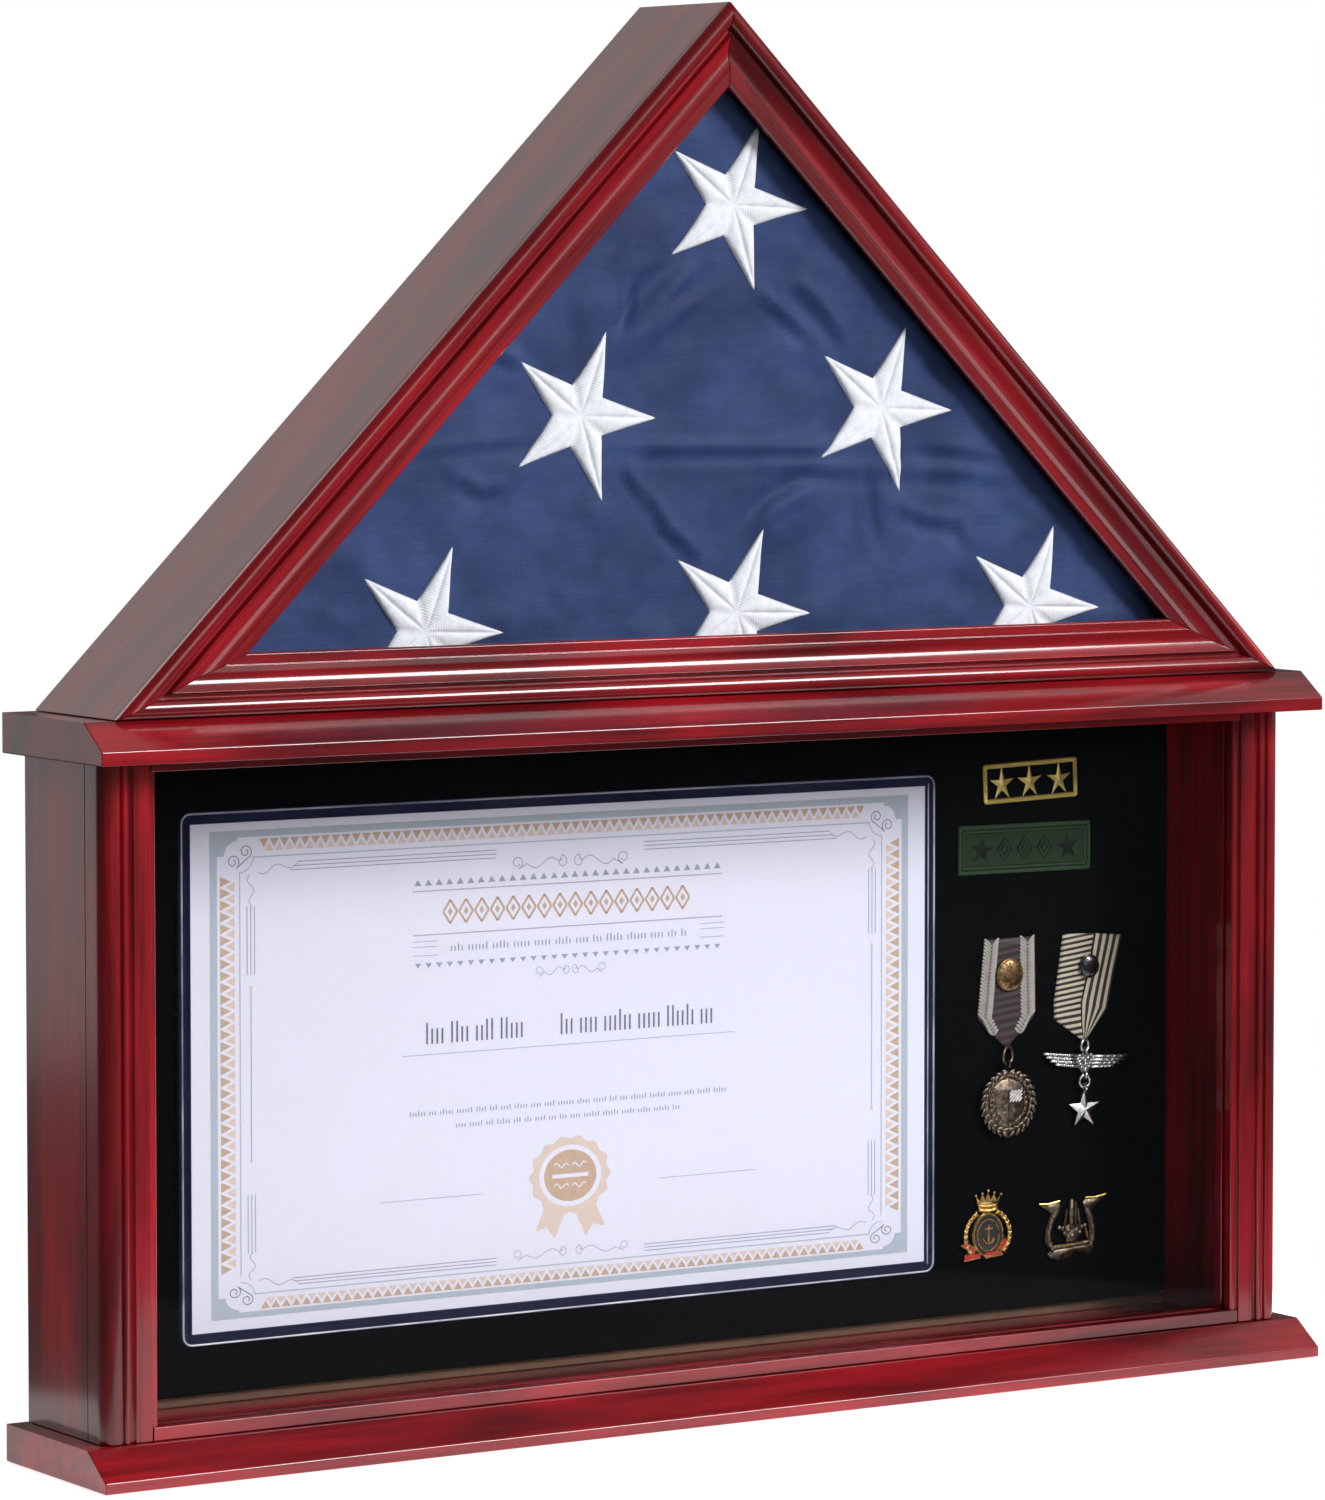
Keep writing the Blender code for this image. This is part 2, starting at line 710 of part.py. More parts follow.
def case_screws():
    """Two screws up through the top board into the flag case."""
    for side, word in ((-1, "left"), (1, "right")):
        seat = CABINET_CEILING + CASE_SCREW_HEAD[1]
        location = (side * CASE_SCREW_X, CASE_SCREW_Y, seat)
        size = (CASE_SCREW_RADIUS, CASE_SCREW_LENGTH - CASE_SCREW_HEAD[1])
        head = (CASE_SCREW_HEAD[0], CASE_SCREW_HEAD[1] - GAP)
        screw("case_screw_" + word, location, (math.pi, 0, 0), size, head, "zinc")


# Contents of the shadow box, all fixed to its back

def certificate(hold):
    """A rigid clear sleeve, open along its top edge, with the sheet inside."""
    left, right, bottom, top = SLEEVE
    middle = ((left + right) / 2, (bottom + top) / 2)
    front = DISPLAY_FRONT - GAP - SLEEVE_THICKNESS
    outline = rounded_rectangle(*middle, right - left, top - bottom, SLEEVE_CORNER)
    sleeve = plate(outline, front, SLEEVE_THICKNESS)
    margin = PAPER_MARGIN - 2 * GAP
    low = (left + margin, front + SLEEVE_WALL, bottom + margin)
    high = (right - margin, front + SLEEVE_THICKNESS - SLEEVE_WALL, top + margin)
    combine(sleeve, box(low, high), "DIFFERENCE")
    keep(sleeve, "certificate_sleeve", "clear_plastic", hold)
    face = front + (SLEEVE_THICKNESS - PAPER_THICKNESS) / 2
    low = (left + PAPER_MARGIN, face, bottom + PAPER_MARGIN)
    high = (right - PAPER_MARGIN, face + PAPER_THICKNESS, top - PAPER_MARGIN)
    keep(box(low, high), "certificate_paper", "paper", hold)


def patches(hold):
    front = DISPLAY_FRONT - GAP - PATCH_THICKNESS
    for name, sizes, material in (
        ("gold_patch", GOLD_PATCH, "gold_cloth"),
        ("green_patch", GREEN_PATCH, "green_cloth"),
    ):
        x, z, width, height, tilt = sizes
        outline = rounded_rectangle(x, z, width, height, PATCH_CORNER, tilt)
        keep(plate(outline, front, PATCH_THICKNESS), name, material, hold)


def stud(name, sizes, material, hold):
    """A domed metal stud on a ribbon, facing the front."""
    x, z, radius, height = sizes
    back = DISPLAY_FRONT - RIBBON_THICKNESS - 2 * GAP
    dome = [(radius * t, height * math.sqrt(1 - (STUD_FULLNESS * t) ** 2)) for t in STUD_STEPS]
    made = turned(dome + [(radius, height / 4), (radius, 0), (0, 0)], 24)
    made.rotation_euler = (math.pi / 2, 0, 0)
    made.location = (x, back, z)
    keep(made, name, material, hold)


def ribbon(name, outline, material, hold):
    front = DISPLAY_FRONT - GAP - RIBBON_THICKNESS
    keep(plate(outline, front, RIBBON_THICKNESS), name, material, hold)


def ring_plane():
    """Depth of the rings' middle, where the eyes just clear the display board."""
    return DISPLAY_FRONT - GAP - EYE_RADIUS - EYE_WIRE


def wire_ring(name, place, radius, material, hold):
    x, z = place
    keep(torus(radius, RING_WIRE, (x, ring_plane(), z)), name, material, hold)


def with_eye(obj, x, z):
    """Joins on an upright eye for a ring to pass through."""
    eye = torus(EYE_RADIUS, EYE_WIRE, (x, ring_plane(), z), (0, math.pi / 2, 0))
    return combine(obj, eye, "UNION")


def round_medal(hold):
    ribbon("round_medal_ribbon", PLUM_RIBBON, "plum_ribbon", hold)
    stud("round_medal_stud", STUD_BUTTON, "brass", hold)
    x, z, radius, thickness = MEDALLION
    eye_z = z + radius + EYE_RADIUS
    ring_z = eye_z + LARGE_RING
    swing = pivot("round_medal_swing", (x, ring_plane(), ring_z + LARGE_RING), hold)
    half = thickness / 2
    rim = radius * MEDALLION_RIM
    sunk = half / 2
    front = [(0, half), (rim * 0.7, sunk), (rim, sunk), (rim, half), (radius, half)]
    disc = turned(front + [(radius, -half), (0, -half)], 40)
    disc.rotation_euler = (math.pi / 2, 0, 0)
    disc.location = (x, ring_plane(), z)
    bpy.context.view_layer.update()
    keep(with_eye(disc, x, eye_z), "round_medal_medallion", "bronze", swing)
    wire_ring("round_medal_ring", (x, ring_z), LARGE_RING, "bronze", swing)


def wings_outline(x, z, span, height):
    """A pair of plain spread wings, the tips up and the lower edge in three feathers."""
    half = (
        (0, 0.30), (0.08, 0.42), (0.20, 0.36), (0.38, 0.44), (0.50, 0.50), (0.49, 0.28), (0.42, 0.20),
        (0.36, 0.02), (0.27, -0.04), (0.20, -0.22), (0.11, -0.26), (0.06, -0.50), (0, -0.50),
    )
    return placed(mirrored(half, span, height), x, z, WINGS_TILT)


def winged_medal(hold):
    ribbon("winged_medal_ribbon", STRIPED_RIBBON, "striped_ribbon", hold)
    stud("winged_medal_stud", SMALL_STUD, "silver", hold)
    x, z, span, height = WINGS
    front = ring_plane() - TRINKET_THICKNESS / 2
    upper_eye = z + 0.30 * height + EYE_RADIUS
    upper_ring = upper_eye + SMALL_RING
    swing = pivot("winged_medal_swing", (x, ring_plane(), upper_ring + SMALL_RING), hold)
    wings = plate(wings_outline(x, z, span, height), front, TRINKET_THICKNESS)
    with_eye(wings, x, upper_eye)
    lower_eye = z - 0.50 * height - EYE_RADIUS
    with_eye(wings, x, lower_eye)
    keep(wings, "winged_medal_wings", "silver", swing)
    wire_ring("winged_medal_ring", (x, upper_ring), SMALL_RING, "silver", swing)
    lower_ring = lower_eye - SMALL_RING
    star_swing = pivot("winged_medal_star_swing", (x, ring_plane(), lower_ring + SMALL_RING), swing)
    wire_ring("winged_medal_lower_ring", (x, lower_ring), SMALL_RING, "silver", star_swing)
    star_eye = lower_ring - SMALL_RING
    star_z = star_eye - EYE_RADIUS - STAR_RADIUS + EYE_WIRE
    star = plate(star_outline(x, star_z, STAR_RADIUS), front, TRINKET_THICKNESS)
    keep(with_eye(star, x, star_eye), "winged_medal_star", "silver", star_swing)


def coronet_outline(x, z, width, height):
    """A small crown over an oval, with leaves at its sides and ribbon ends below."""
    half = (
        (0, 0.50), (0.10, 0.40), (0.27, 0.42), (0.22, 0.24), (0.40, 0.16), (0.50, 0.00),
        (0.40, -0.18), (0.26, -0.24), (0.40, -0.42), (0.30, -0.50), (0.10, -0.34), (0, -0.38),
    )
    return placed(mirrored(half, width, height), x, z)


def lyre_outline(x, z, width, height):
    """A lyre between two upright wings."""
    half = (
        (0, 0.40), (0.10, 0.50), (0.18, 0.34), (0.30, 0.40), (0.50, 0.50), (0.46, 0.20),
        (0.36, -0.06), (0.26, -0.30), (0.14, -0.46), (0, -0.50),
    )
    return placed(mirrored(half, width, height), x, z)


def pins(hold):
    front = DISPLAY_FRONT - GAP - PIN_THICKNESS
    coronet = plate(coronet_outline(*CORONET_PIN), front, PIN_THICKNESS)
    keep(coronet, "coronet_pin", "brass", hold)
    lyre = plate(lyre_outline(*LYRE_PIN), front, PIN_THICKNESS)
    keep(lyre, "lyre_pin", "bronze", hold)


def shadow_box_back():
    hold = pivot("cabinet_back", (0, CASE_BACK, CABINET_FLOOR + CABINET_HEIGHT / 2))
    cabinet_back(hold)
    certificate(hold)
    patches(hold)
    round_medal(hold)
    winged_medal(hold)
    pins(hold)


def build():
    base_board()
    top_board()
    for side, word in ((-1, "left"), (1, "right")):
        side_panel("side_panel_" + word, side)
        stile("stile_" + word, side)
    rails()
    cabinet_glass()
    glass_stops()
    flag_walls()
    flag_frame()
    flag_glass()
    folded_flag()
    case_screws()
    flag_back()
    shadow_box_back()
    turn_buttons()


clear_scene()
PARTS = new_collection("folded_flag_display_case")
CUTTERS = new_collection("cutters", hidden=True)
build()
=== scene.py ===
"""The looks of the folded flag display case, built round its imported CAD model.

Metres, +Z up, in the model's own frame: the glass faces -Y. Wood, glass and metal pieces are
the CAD nodes remade with finer edges. The flag, the certificate and the decorations are
modelled here and stand for their plain CAD solids.
"""

import json
import math
import random

import bmesh
import bpy
import numpy as np
from mathutils import Matrix, Vector, noise

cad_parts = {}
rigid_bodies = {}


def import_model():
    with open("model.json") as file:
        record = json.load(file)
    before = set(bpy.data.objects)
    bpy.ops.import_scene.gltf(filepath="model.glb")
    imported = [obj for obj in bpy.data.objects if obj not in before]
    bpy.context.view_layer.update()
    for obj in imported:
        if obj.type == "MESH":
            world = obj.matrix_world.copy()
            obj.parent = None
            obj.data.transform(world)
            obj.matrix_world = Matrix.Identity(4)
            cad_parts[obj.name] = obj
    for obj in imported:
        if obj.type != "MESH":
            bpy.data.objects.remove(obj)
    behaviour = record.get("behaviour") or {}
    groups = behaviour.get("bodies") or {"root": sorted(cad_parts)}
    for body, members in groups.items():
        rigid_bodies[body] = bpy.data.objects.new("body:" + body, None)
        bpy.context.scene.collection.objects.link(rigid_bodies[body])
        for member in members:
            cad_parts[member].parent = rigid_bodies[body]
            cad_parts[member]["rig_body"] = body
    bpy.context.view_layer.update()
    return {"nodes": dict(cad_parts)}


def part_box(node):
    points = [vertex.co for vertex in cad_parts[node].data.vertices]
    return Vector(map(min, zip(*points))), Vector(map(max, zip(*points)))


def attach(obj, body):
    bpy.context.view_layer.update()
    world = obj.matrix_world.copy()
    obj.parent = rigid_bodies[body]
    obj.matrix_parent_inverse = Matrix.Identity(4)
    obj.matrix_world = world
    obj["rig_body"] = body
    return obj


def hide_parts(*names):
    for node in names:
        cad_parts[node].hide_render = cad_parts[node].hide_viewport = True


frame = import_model()
NODES = frame["nodes"]
BACK_BODY = "cabinet_back"

# Camera, as the picture was taken
CAMERA_PLACE = (-1.6016, -2.4976, 0.5297)
CAMERA_YAW = -32.4025
CAMERA_PITCH = -3.4449
LENS = 155.07
SHIFT_Y = -100 / 1500

# Grain direction of each wooden piece, as a turn about Y from upright
ALONG = 90
UPRIGHT = 0
LEFT_SLOPE = 45
RIGHT_SLOPE = 135
WOOD = {
    "base_board": ALONG, "top_board": ALONG,
    "side_panel_left": UPRIGHT, "side_panel_right": UPRIGHT,
    "stile_left": UPRIGHT, "stile_right": UPRIGHT,
    "bottom_rail": ALONG, "top_rail": ALONG,
    "glass_stop_left": UPRIGHT, "glass_stop_right": UPRIGHT,
    "glass_stop_bottom": ALONG, "glass_stop_top": ALONG,
    "flag_case_bottom_board": ALONG,
    "flag_case_left_panel": LEFT_SLOPE, "flag_case_right_panel": RIGHT_SLOPE,
    "flag_frame_bottom": ALONG, "flag_frame_left": LEFT_SLOPE, "flag_frame_right": RIGHT_SLOPE,
}


# Materials

class Recipe:
    """A material and short ways to add nodes to it."""

    def __init__(self, name, colour, roughness, metallic=0.0, **sockets):
        self.material = bpy.data.materials.new(name)
        self.material.use_nodes = True
        self.tree = self.material.node_tree
        self.shader = self.tree.nodes["Principled BSDF"]
        self.set(self.shader, {"Base Color": (*colour, 1.0), "Roughness": roughness, "Metallic": metallic})
        self.set(self.shader, {key.replace("_", " "): value for key, value in sockets.items()})

    def set(self, node, inputs):
        for key, value in inputs.items():
            if isinstance(value, bpy.types.NodeSocket):
                self.tree.links.new(value, node.inputs[key])
            else:
                node.inputs[key].default_value = value

    def add(self, kind, inputs, **settings):
        node = self.tree.nodes.new("ShaderNode" + kind)
        for key, value in settings.items():
            setattr(node, key, value)
        self.set(node, inputs)
        return node

    def place(self, scale=(1, 1, 1), kind="Object", turn=(0, 0, 0)):
        """Coordinates, stretched."""
        source = self.add("TexCoord", {}).outputs[kind]
        return self.add("Mapping", {"Vector": source, "Scale": scale, "Rotation": turn}).outputs[0]

    def noise(self, vector, scale, detail=3.0, roughness=0.5, distortion=0.0):
        inputs = {"Vector": vector, "Scale": scale, "Detail": detail, "Roughness": roughness}
        return self.add("TexNoise", {**inputs, "Distortion": distortion}).outputs[0]

    def wave(self, vector, scale, direction="X", distortion=0.0):
        inputs = {"Vector": vector, "Scale": scale, "Distortion": distortion}
        return self.add("TexWave", inputs, bands_direction=direction).outputs["Fac"]

    def ramp(self, value, stops):
        node = self.add("ValToRGB", {0: value})
        elements = node.color_ramp.elements
        while len(elements) < len(stops):
            elements.new(0.5)
        for element, (position, colour) in zip(elements, stops):
            element.position = position
            element.color = (*colour, 1.0)
        return node.outputs[0]

    def span(self, value, low, high):
        """A value from 0 to 1, spread from low to high."""
        inputs = {"Value": value, "To Min": low, "To Max": high}
        return self.add("MapRange", inputs).outputs[0]

    def math(self, operation, a, b):
        return self.add("Math", {0: a, 1: b}, operation=operation).outputs[0]

    def mix(self, share, a, b, blend="MIX"):
        node = self.add("Mix", {}, data_type="RGBA", blend_type=blend)
        for socket, value in ((0, share), (6, a), (7, b)):
            if isinstance(value, bpy.types.NodeSocket):
                self.tree.links.new(value, node.inputs[socket])
            else:
                node.inputs[socket].default_value = value if socket == 0 else (*value, 1.0)
        return node.outputs[2]

    def bump(self, height, strength, distance, normal=None):
        inputs = {"Height": height, "Strength": strength, "Distance": distance}
        if normal:
            inputs["Normal"] = normal
        node = self.add("Bump", inputs)
        self.set(self.shader, {"Normal": node.outputs[0]})
        return node.outputs[0]

    def colour(self, socket):
        self.set(self.shader, {"Base Color": socket})

    def roughness(self, socket):
        self.set(self.shader, {"Roughness": socket})


def cherry():
    """Cherry-stained wood under satin lacquer, its grain along local Z."""
    r = Recipe("cherry", (0.2, 0.01, 0.015), 0.42, Coat_Weight=0.9, Coat_Roughness=0.14)
    r.set(r.shader, {"Specular IOR Level": 0.1})
    blotch = r.noise(r.place((24, 24, 4.5)), 1.0, 3, 0.55, 0.6)
    streak = r.noise(r.place((170, 170, 6)), 1.0, 4, 0.6, 0.3)
    pore = r.noise(r.place((900, 900, 22)), 1.0, 2, 0.6)
    stain = r.ramp(blotch, [
        (0.33, (0.076, 0.0028, 0.0048)), (0.50, (0.198, 0.0038, 0.0078)),
        (0.67, (0.315, 0.0055, 0.0115)),
    ])
    grain = r.ramp(streak, [
        (0.37, (0.50, 0.45, 0.45)), (0.52, (1.0, 1.0, 1.0)),
        (0.66, (1.25, 1.15, 1.15)),
    ])
    fine = r.ramp(pore, [(0.34, (0.55, 0.5, 0.5)), (0.46, (1.0, 1.0, 1.0))])
    r.colour(r.mix(0.5, r.mix(0.65, stain, grain, "MULTIPLY"), fine, "MULTIPLY"))
    r.roughness(r.span(streak, 0.36, 0.5))
    r.bump(pore, 0.1, 0.0002)
    return r.material


def glass():
    """A clear pane with a faint cool tint."""
    r = Recipe("glass", (0.02, 0.03, 0.03), 0.02, Alpha=0.03)
    smear = r.noise(r.place((3, 3, 3)), 1.0, 2)
    r.colour(r.ramp(smear, [(0.3, (0.010, 0.014, 0.016)), (0.7, (0.03, 0.04, 0.045))]))
    return r.material


def flag_cloth():
    """Plain woven cotton, navy."""
    r = Recipe("flag_cloth", (0.03, 0.05, 0.15), 0.60, Sheen_Weight=0.12, Sheen_Roughness=0.4)
    r.set(r.shader, {"Sheen Tint": (0.45, 0.55, 1.0, 1.0), "Specular IOR Level": 0.22})
    warp = r.wave(r.place(), 420, "X", 0.6)
    weft = r.wave(r.place(), 420, "Z", 0.6)
    weave = r.math("MULTIPLY", warp, weft)
    cloud = r.noise(r.place(), 26, 4, 0.6)
    slub = r.noise(r.place((60, 60, 900)), 1.0, 3)
    shade = r.ramp(cloud, [(0.36, (0.013, 0.030, 0.106)), (0.64, (0.029, 0.058, 0.174))])
    r.colour(r.mix(0.4, shade, r.ramp(slub, [(0.3, (0.7, 0.7, 0.75)), (0.7, (1.1, 1.1, 1.1))]), "MULTIPLY"))
    r.bump(weave, 0.35, 0.00025)
    return r.material


def embroidery(name, colour, dark, metallic=0.0, sheen=0.4):
    """Satin stitch, its stitches across UV's V."""
    r = Recipe(name, colour, 0.55 - 0.2 * metallic, metallic, Sheen_Weight=sheen, Sheen_Roughness=0.35)
    r.set(r.shader, {"Specular IOR Level": 0.15})
    threads = r.wave(r.place(kind="UV"), 260, "Y", 1.2)
    soft = r.noise(r.place(), 220, 3)
    base = r.ramp(soft, [(0.3, tuple(0.86 * c for c in colour)), (0.65, colour)])
    r.colour(r.mix(0.22, base, r.ramp(threads, [(0.0, dark), (0.45, (1, 1, 1))]), "MULTIPLY"))
    r.bump(threads, 0.35, 0.0003)
    return r.material


def felt():
    """Black felt, its fibres catching almost no light."""
    r = Recipe("felt", (0.002, 0.002, 0.0025), 1.0)
    r.set(r.shader, {"Specular IOR Level": 0.0})
    fibre = r.noise(r.place(), 1400, 4, 0.7)
    r.colour(r.ramp(fibre, [(0.3, (0.0010, 0.0010, 0.0013)), (0.7, (0.0048, 0.0046, 0.0056))]))
    r.bump(fibre, 0.6, 0.0004)
    return r.material


def hardboard():
    """Smooth-faced brown board of pressed fibres."""
    r = Recipe("hardboard", (0.11, 0.05, 0.025), 0.6)
    fibre = r.noise(r.place((420, 420, 160)), 1.0, 5, 0.7)
    cloud = r.noise(r.place(), 22, 4)
    base = r.ramp(cloud, [(0.3, (0.100, 0.046, 0.022)), (0.7, (0.145, 0.068, 0.034))])
    pressed = r.ramp(fibre, [(0.35, (0.55, 0.5, 0.45)), (0.6, (1.15, 1.15, 1.1))])
    r.colour(r.mix(0.6, base, pressed, "MULTIPLY"))
    r.roughness(r.span(fibre, 0.45, 0.75))
    r.bump(fibre, 0.25, 0.0002)
    return r.material


def metal(name, bright, dark, roughness, scale=900):
    """Cast or pressed metal, darkened in patches."""
    r = Recipe(name, bright, roughness, 1.0)
    patina = r.noise(r.place(), scale, 4, 0.6)
    r.colour(r.ramp(patina, [(0.34, dark), (0.62, bright)]))
    r.roughness(r.span(patina, roughness + 0.15, roughness - 0.1))
    r.bump(patina, 0.2, 0.0001)
    return r.material


def paper():
    r = Recipe("paper", (0.78, 0.78, 0.88), 0.6)
    fibre = r.noise(r.place(), 300, 4, 0.6)
    r.colour(r.ramp(fibre, [(0.3, (0.785, 0.79, 0.905)), (0.7, (0.825, 0.83, 0.94))]))
    r.bump(fibre, 0.1, 0.0001)
    return r.material


def ink(name, colour, spread=0.12):
    """Printed ink, a little uneven."""
    r = Recipe(name, colour, 0.55)
    uneven = r.noise(r.place(), 700, 3)
    light = tuple(c + (1 - c) * spread for c in colour)
    r.colour(r.ramp(uneven, [(0.3, colour), (0.75, light)]))
    return r.material


def stripes(name, light, dark, count, axis, share=0.5):
    """A woven ribbon with stripes across or along it, counted over UV."""
    r = Recipe(name, light, 0.6, Sheen_Weight=0.12, Sheen_Roughness=0.4)
    across = r.wave(r.place(kind="UV"), count * math.pi / 10, axis)
    thread = r.wave(r.place(), 900, "Z", 0.5)
    base = r.ramp(across, [(share - 0.06, dark), (share + 0.06, light)])
    r.colour(r.mix(0.4, base, r.ramp(thread, [(0.1, (0.6, 0.6, 0.6)), (0.6, (1, 1, 1))]), "MULTIPLY"))
    r.bump(across, 0.4, 0.0004)
    return r.material


def enamel(name, colour):
    """Hard enamel in a metal cell."""
    r = Recipe(name, colour, 0.35, Coat_Weight=0.2, Coat_Roughness=0.1)
    cloud = r.noise(r.place(), 500, 3)
    r.colour(r.ramp(cloud, [(0.3, tuple(0.6 * c for c in colour)), (0.7, colour)]))
    return r.material


def clear_plastic():
    r = Recipe("clear_plastic", (0.2, 0.25, 0.5), 0.12, Alpha=0.04)
    smear = r.noise(r.place(), 30, 3)
    r.colour(r.ramp(smear, [(0.3, (0.10, 0.13, 0.42)), (0.7, (0.22, 0.26, 0.62))]))
    return r.material


def painted_highlight_plastic():
    """The sleeve's edge: a whitish, half-clear plastic that paints in the highlight where light gathers on
    the rim, brighter in random patches.
    """
    r = Recipe("sleeve_edge_painted_highlight", (0.7, 0.72, 0.8), 0.2, Alpha=0.55)
    # Painted highlight: brighter and darker patches of the rim's catch-light.
    patch = r.noise(r.place(), 40, 2)
    r.colour(r.ramp(patch, [(0.35, (0.30, 0.32, 0.42)), (0.65, (0.85, 0.87, 0.95))]))
    return r.material


MATERIALS = {
    "cherry": cherry(),
    "glass": glass(),
    "flag_cloth": flag_cloth(),
    "star_thread": embroidery("star_thread", (0.88, 0.90, 0.96), (0.72, 0.72, 0.80)),
    "felt": felt(),
    "hardboard": hardboard(),
    "zinc": metal("zinc", (0.62, 0.62, 0.60), (0.34, 0.34, 0.34), 0.38),
    "brass": metal("brass", (0.66, 0.42, 0.14), (0.24, 0.13, 0.04), 0.30, 500),
    "bronze": metal("bronze", (0.20, 0.155, 0.115), (0.045, 0.032, 0.024), 0.40, 500),
    "silver": metal("silver", (0.74, 0.75, 0.74), (0.30, 0.31, 0.32), 0.26, 350),
    "old_gold": metal("old_gold", (0.34, 0.21, 0.10), (0.07, 0.04, 0.02), 0.36, 500),
    "gunmetal": metal("gunmetal", (0.13, 0.13, 0.14), (0.03, 0.03, 0.035), 0.22, 350),
    "paper": paper(),
    "tan_ink": ink("tan_ink", (0.56, 0.37, 0.22)),
    "grey_ink": ink("grey_ink", (0.42, 0.49, 0.56)),
    "clear_plastic": clear_plastic(),
    # painted highlight for the sleeve's rim
    "sleeve_edge_painted_highlight": painted_highlight_plastic(),
    "pale_tan_ink": ink("pale_tan_ink", (0.74, 0.58, 0.47)),
    "pale_grey_ink": ink("pale_grey_ink", (0.30, 0.32, 0.40)),
    "dark_grey_ink": ink("dark_grey_ink", (0.12, 0.12, 0.17)),
    "gold_thread": embroidery("gold_thread", (0.96, 0.79, 0.26), (0.35, 0.27, 0.07), 0.7, 0.1),
    "green_cloth": embroidery("green_cloth", (0.013, 0.034, 0.014), (0.35, 0.5, 0.35), 0, 0.08),
    "green_edge": embroidery("green_edge", (0.027, 0.060, 0.027), (0.35, 0.5, 0.35), 0, 0.08),
    "dark_thread": embroidery("dark_thread", (0.005, 0.008, 0.006), (0.4, 0.4, 0.4), 0, 0.03),
    "silver_thread": embroidery("silver_thread", (0.40, 0.385, 0.36), (0.20, 0.18, 0.16), 0.3, 0.1),
    "plum_ribbon": stripes("plum_ribbon", (0.034, 0.012, 0.019), (0.013, 0.005, 0.008), 15, "Y"),
    "cross_stripes": stripes("cross_stripes", (0.50, 0.44, 0.33), (0.008, 0.007, 0.007), 19, "Y"),
    "long_stripes": stripes("long_stripes", (0.50, 0.44, 0.33), (0.008, 0.007, 0.007), 4, "X"),
    "red_enamel": enamel("red_enamel", (0.50, 0.008, 0.012)),
    "white_enamel": enamel("white_enamel", (0.80, 0.79, 0.76)),
    "dark_enamel": enamel("dark_enamel", (0.012, 0.010, 0.012)),
}


# Placing and shaping

def mesh_of(work, name):
    """The finished mesh of a bmesh, which is freed."""
    mesh = bpy.data.meshes.new(name)
    work.to_mesh(mesh)
    work.free()
    return mesh


def placed(name, data):
    """A new object in the scene."""
    obj = bpy.data.objects.new(name, data)
    bpy.context.scene.collection.objects.link(obj)
    return obj


def thicken(obj, thickness):
    obj.modifiers.new("thickness", "SOLIDIFY").thickness = thickness


def points_of(mesh):
    points = np.empty(len(mesh.vertices) * 3)
    mesh.vertices.foreach_get("co", points)
    return points.reshape(-1, 3)


def set_points(mesh, points):
    mesh.vertices.foreach_set("co", points.ravel())


def middle_of(node):
    """A node's middle, as x and z, and its front."""
    low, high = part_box(node)
    return (low.x + high.x) / 2, (low.z + high.z) / 2, low.y


def link(obj, name, material, slot, body, *replaced):
    """Files a finished piece: its name, looks, body and the CAD nodes that it stands for."""
    obj.name = name
    obj.data.name = name
    obj.data.materials.clear()
    obj.data.materials.append(MATERIALS[material])
    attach(obj, body)
    if replaced:
        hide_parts(*replaced)
    return obj


def soften(obj, width, angle=35, segments=2):
    """Rounds the sharp edges, and keeps flat faces flat under smooth shading."""
    bevel = obj.modifiers.new("ease", "BEVEL")
    bevel.width = width
    bevel.segments = segments
    bevel.limit_method = "ANGLE"
    bevel.angle_limit = math.radians(angle)
    obj.data.shade_smooth()
    weighted = obj.modifiers.new("shading", "WEIGHTED_NORMAL")
    weighted.keep_sharp = True
    return obj


def remade(node, turn=0):
    """A CAD node's mesh with its faces joined up, in a frame turned about Y."""
    turned = Matrix.Rotation(math.radians(turn), 4, "Y")
    work = bmesh.new()
    work.from_mesh(NODES[node].data)
    bmesh.ops.remove_doubles(work, verts=work.verts, dist=1e-6)
    bmesh.ops.dissolve_limit(work, angle_limit=math.radians(0.5), verts=work.verts, edges=work.edges)
    work.transform(turned.inverted())
    obj = placed(node, mesh_of(work, node))
    obj.matrix_world = turned
    bpy.context.view_layer.update()
    return obj


def woodwork():
    for node, turn in WOOD.items():
        piece = soften(remade(node, turn), 0.0003)
        link(piece, node + "_lacquered", "cherry", "cherry", "case", node)


def panes():
    for node in ("cabinet_glass", "flag_glass"):
        link(soften(remade(node), 0.0002), node + "_pane", "glass", "glass", "case", node)


def metalwork():
    """Turn buttons and screws."""
    for node in NODES:
        if "turn_button" in node or "screw" in node:
            piece = soften(remade(node), 0.00015, 40)
            link(piece, node + "_plated", "zinc", "zinc", NODES[node]["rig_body"], node)


def backs():
    boards = {"flag_back_panel": "hardboard", "cabinet_back_panel": "hardboard", "display_board": "felt"}
    for node, material in boards.items():
        piece = soften(remade(node), 0.0003)
        link(piece, node + "_finished", material, material, NODES[node]["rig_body"], node)


# The flag

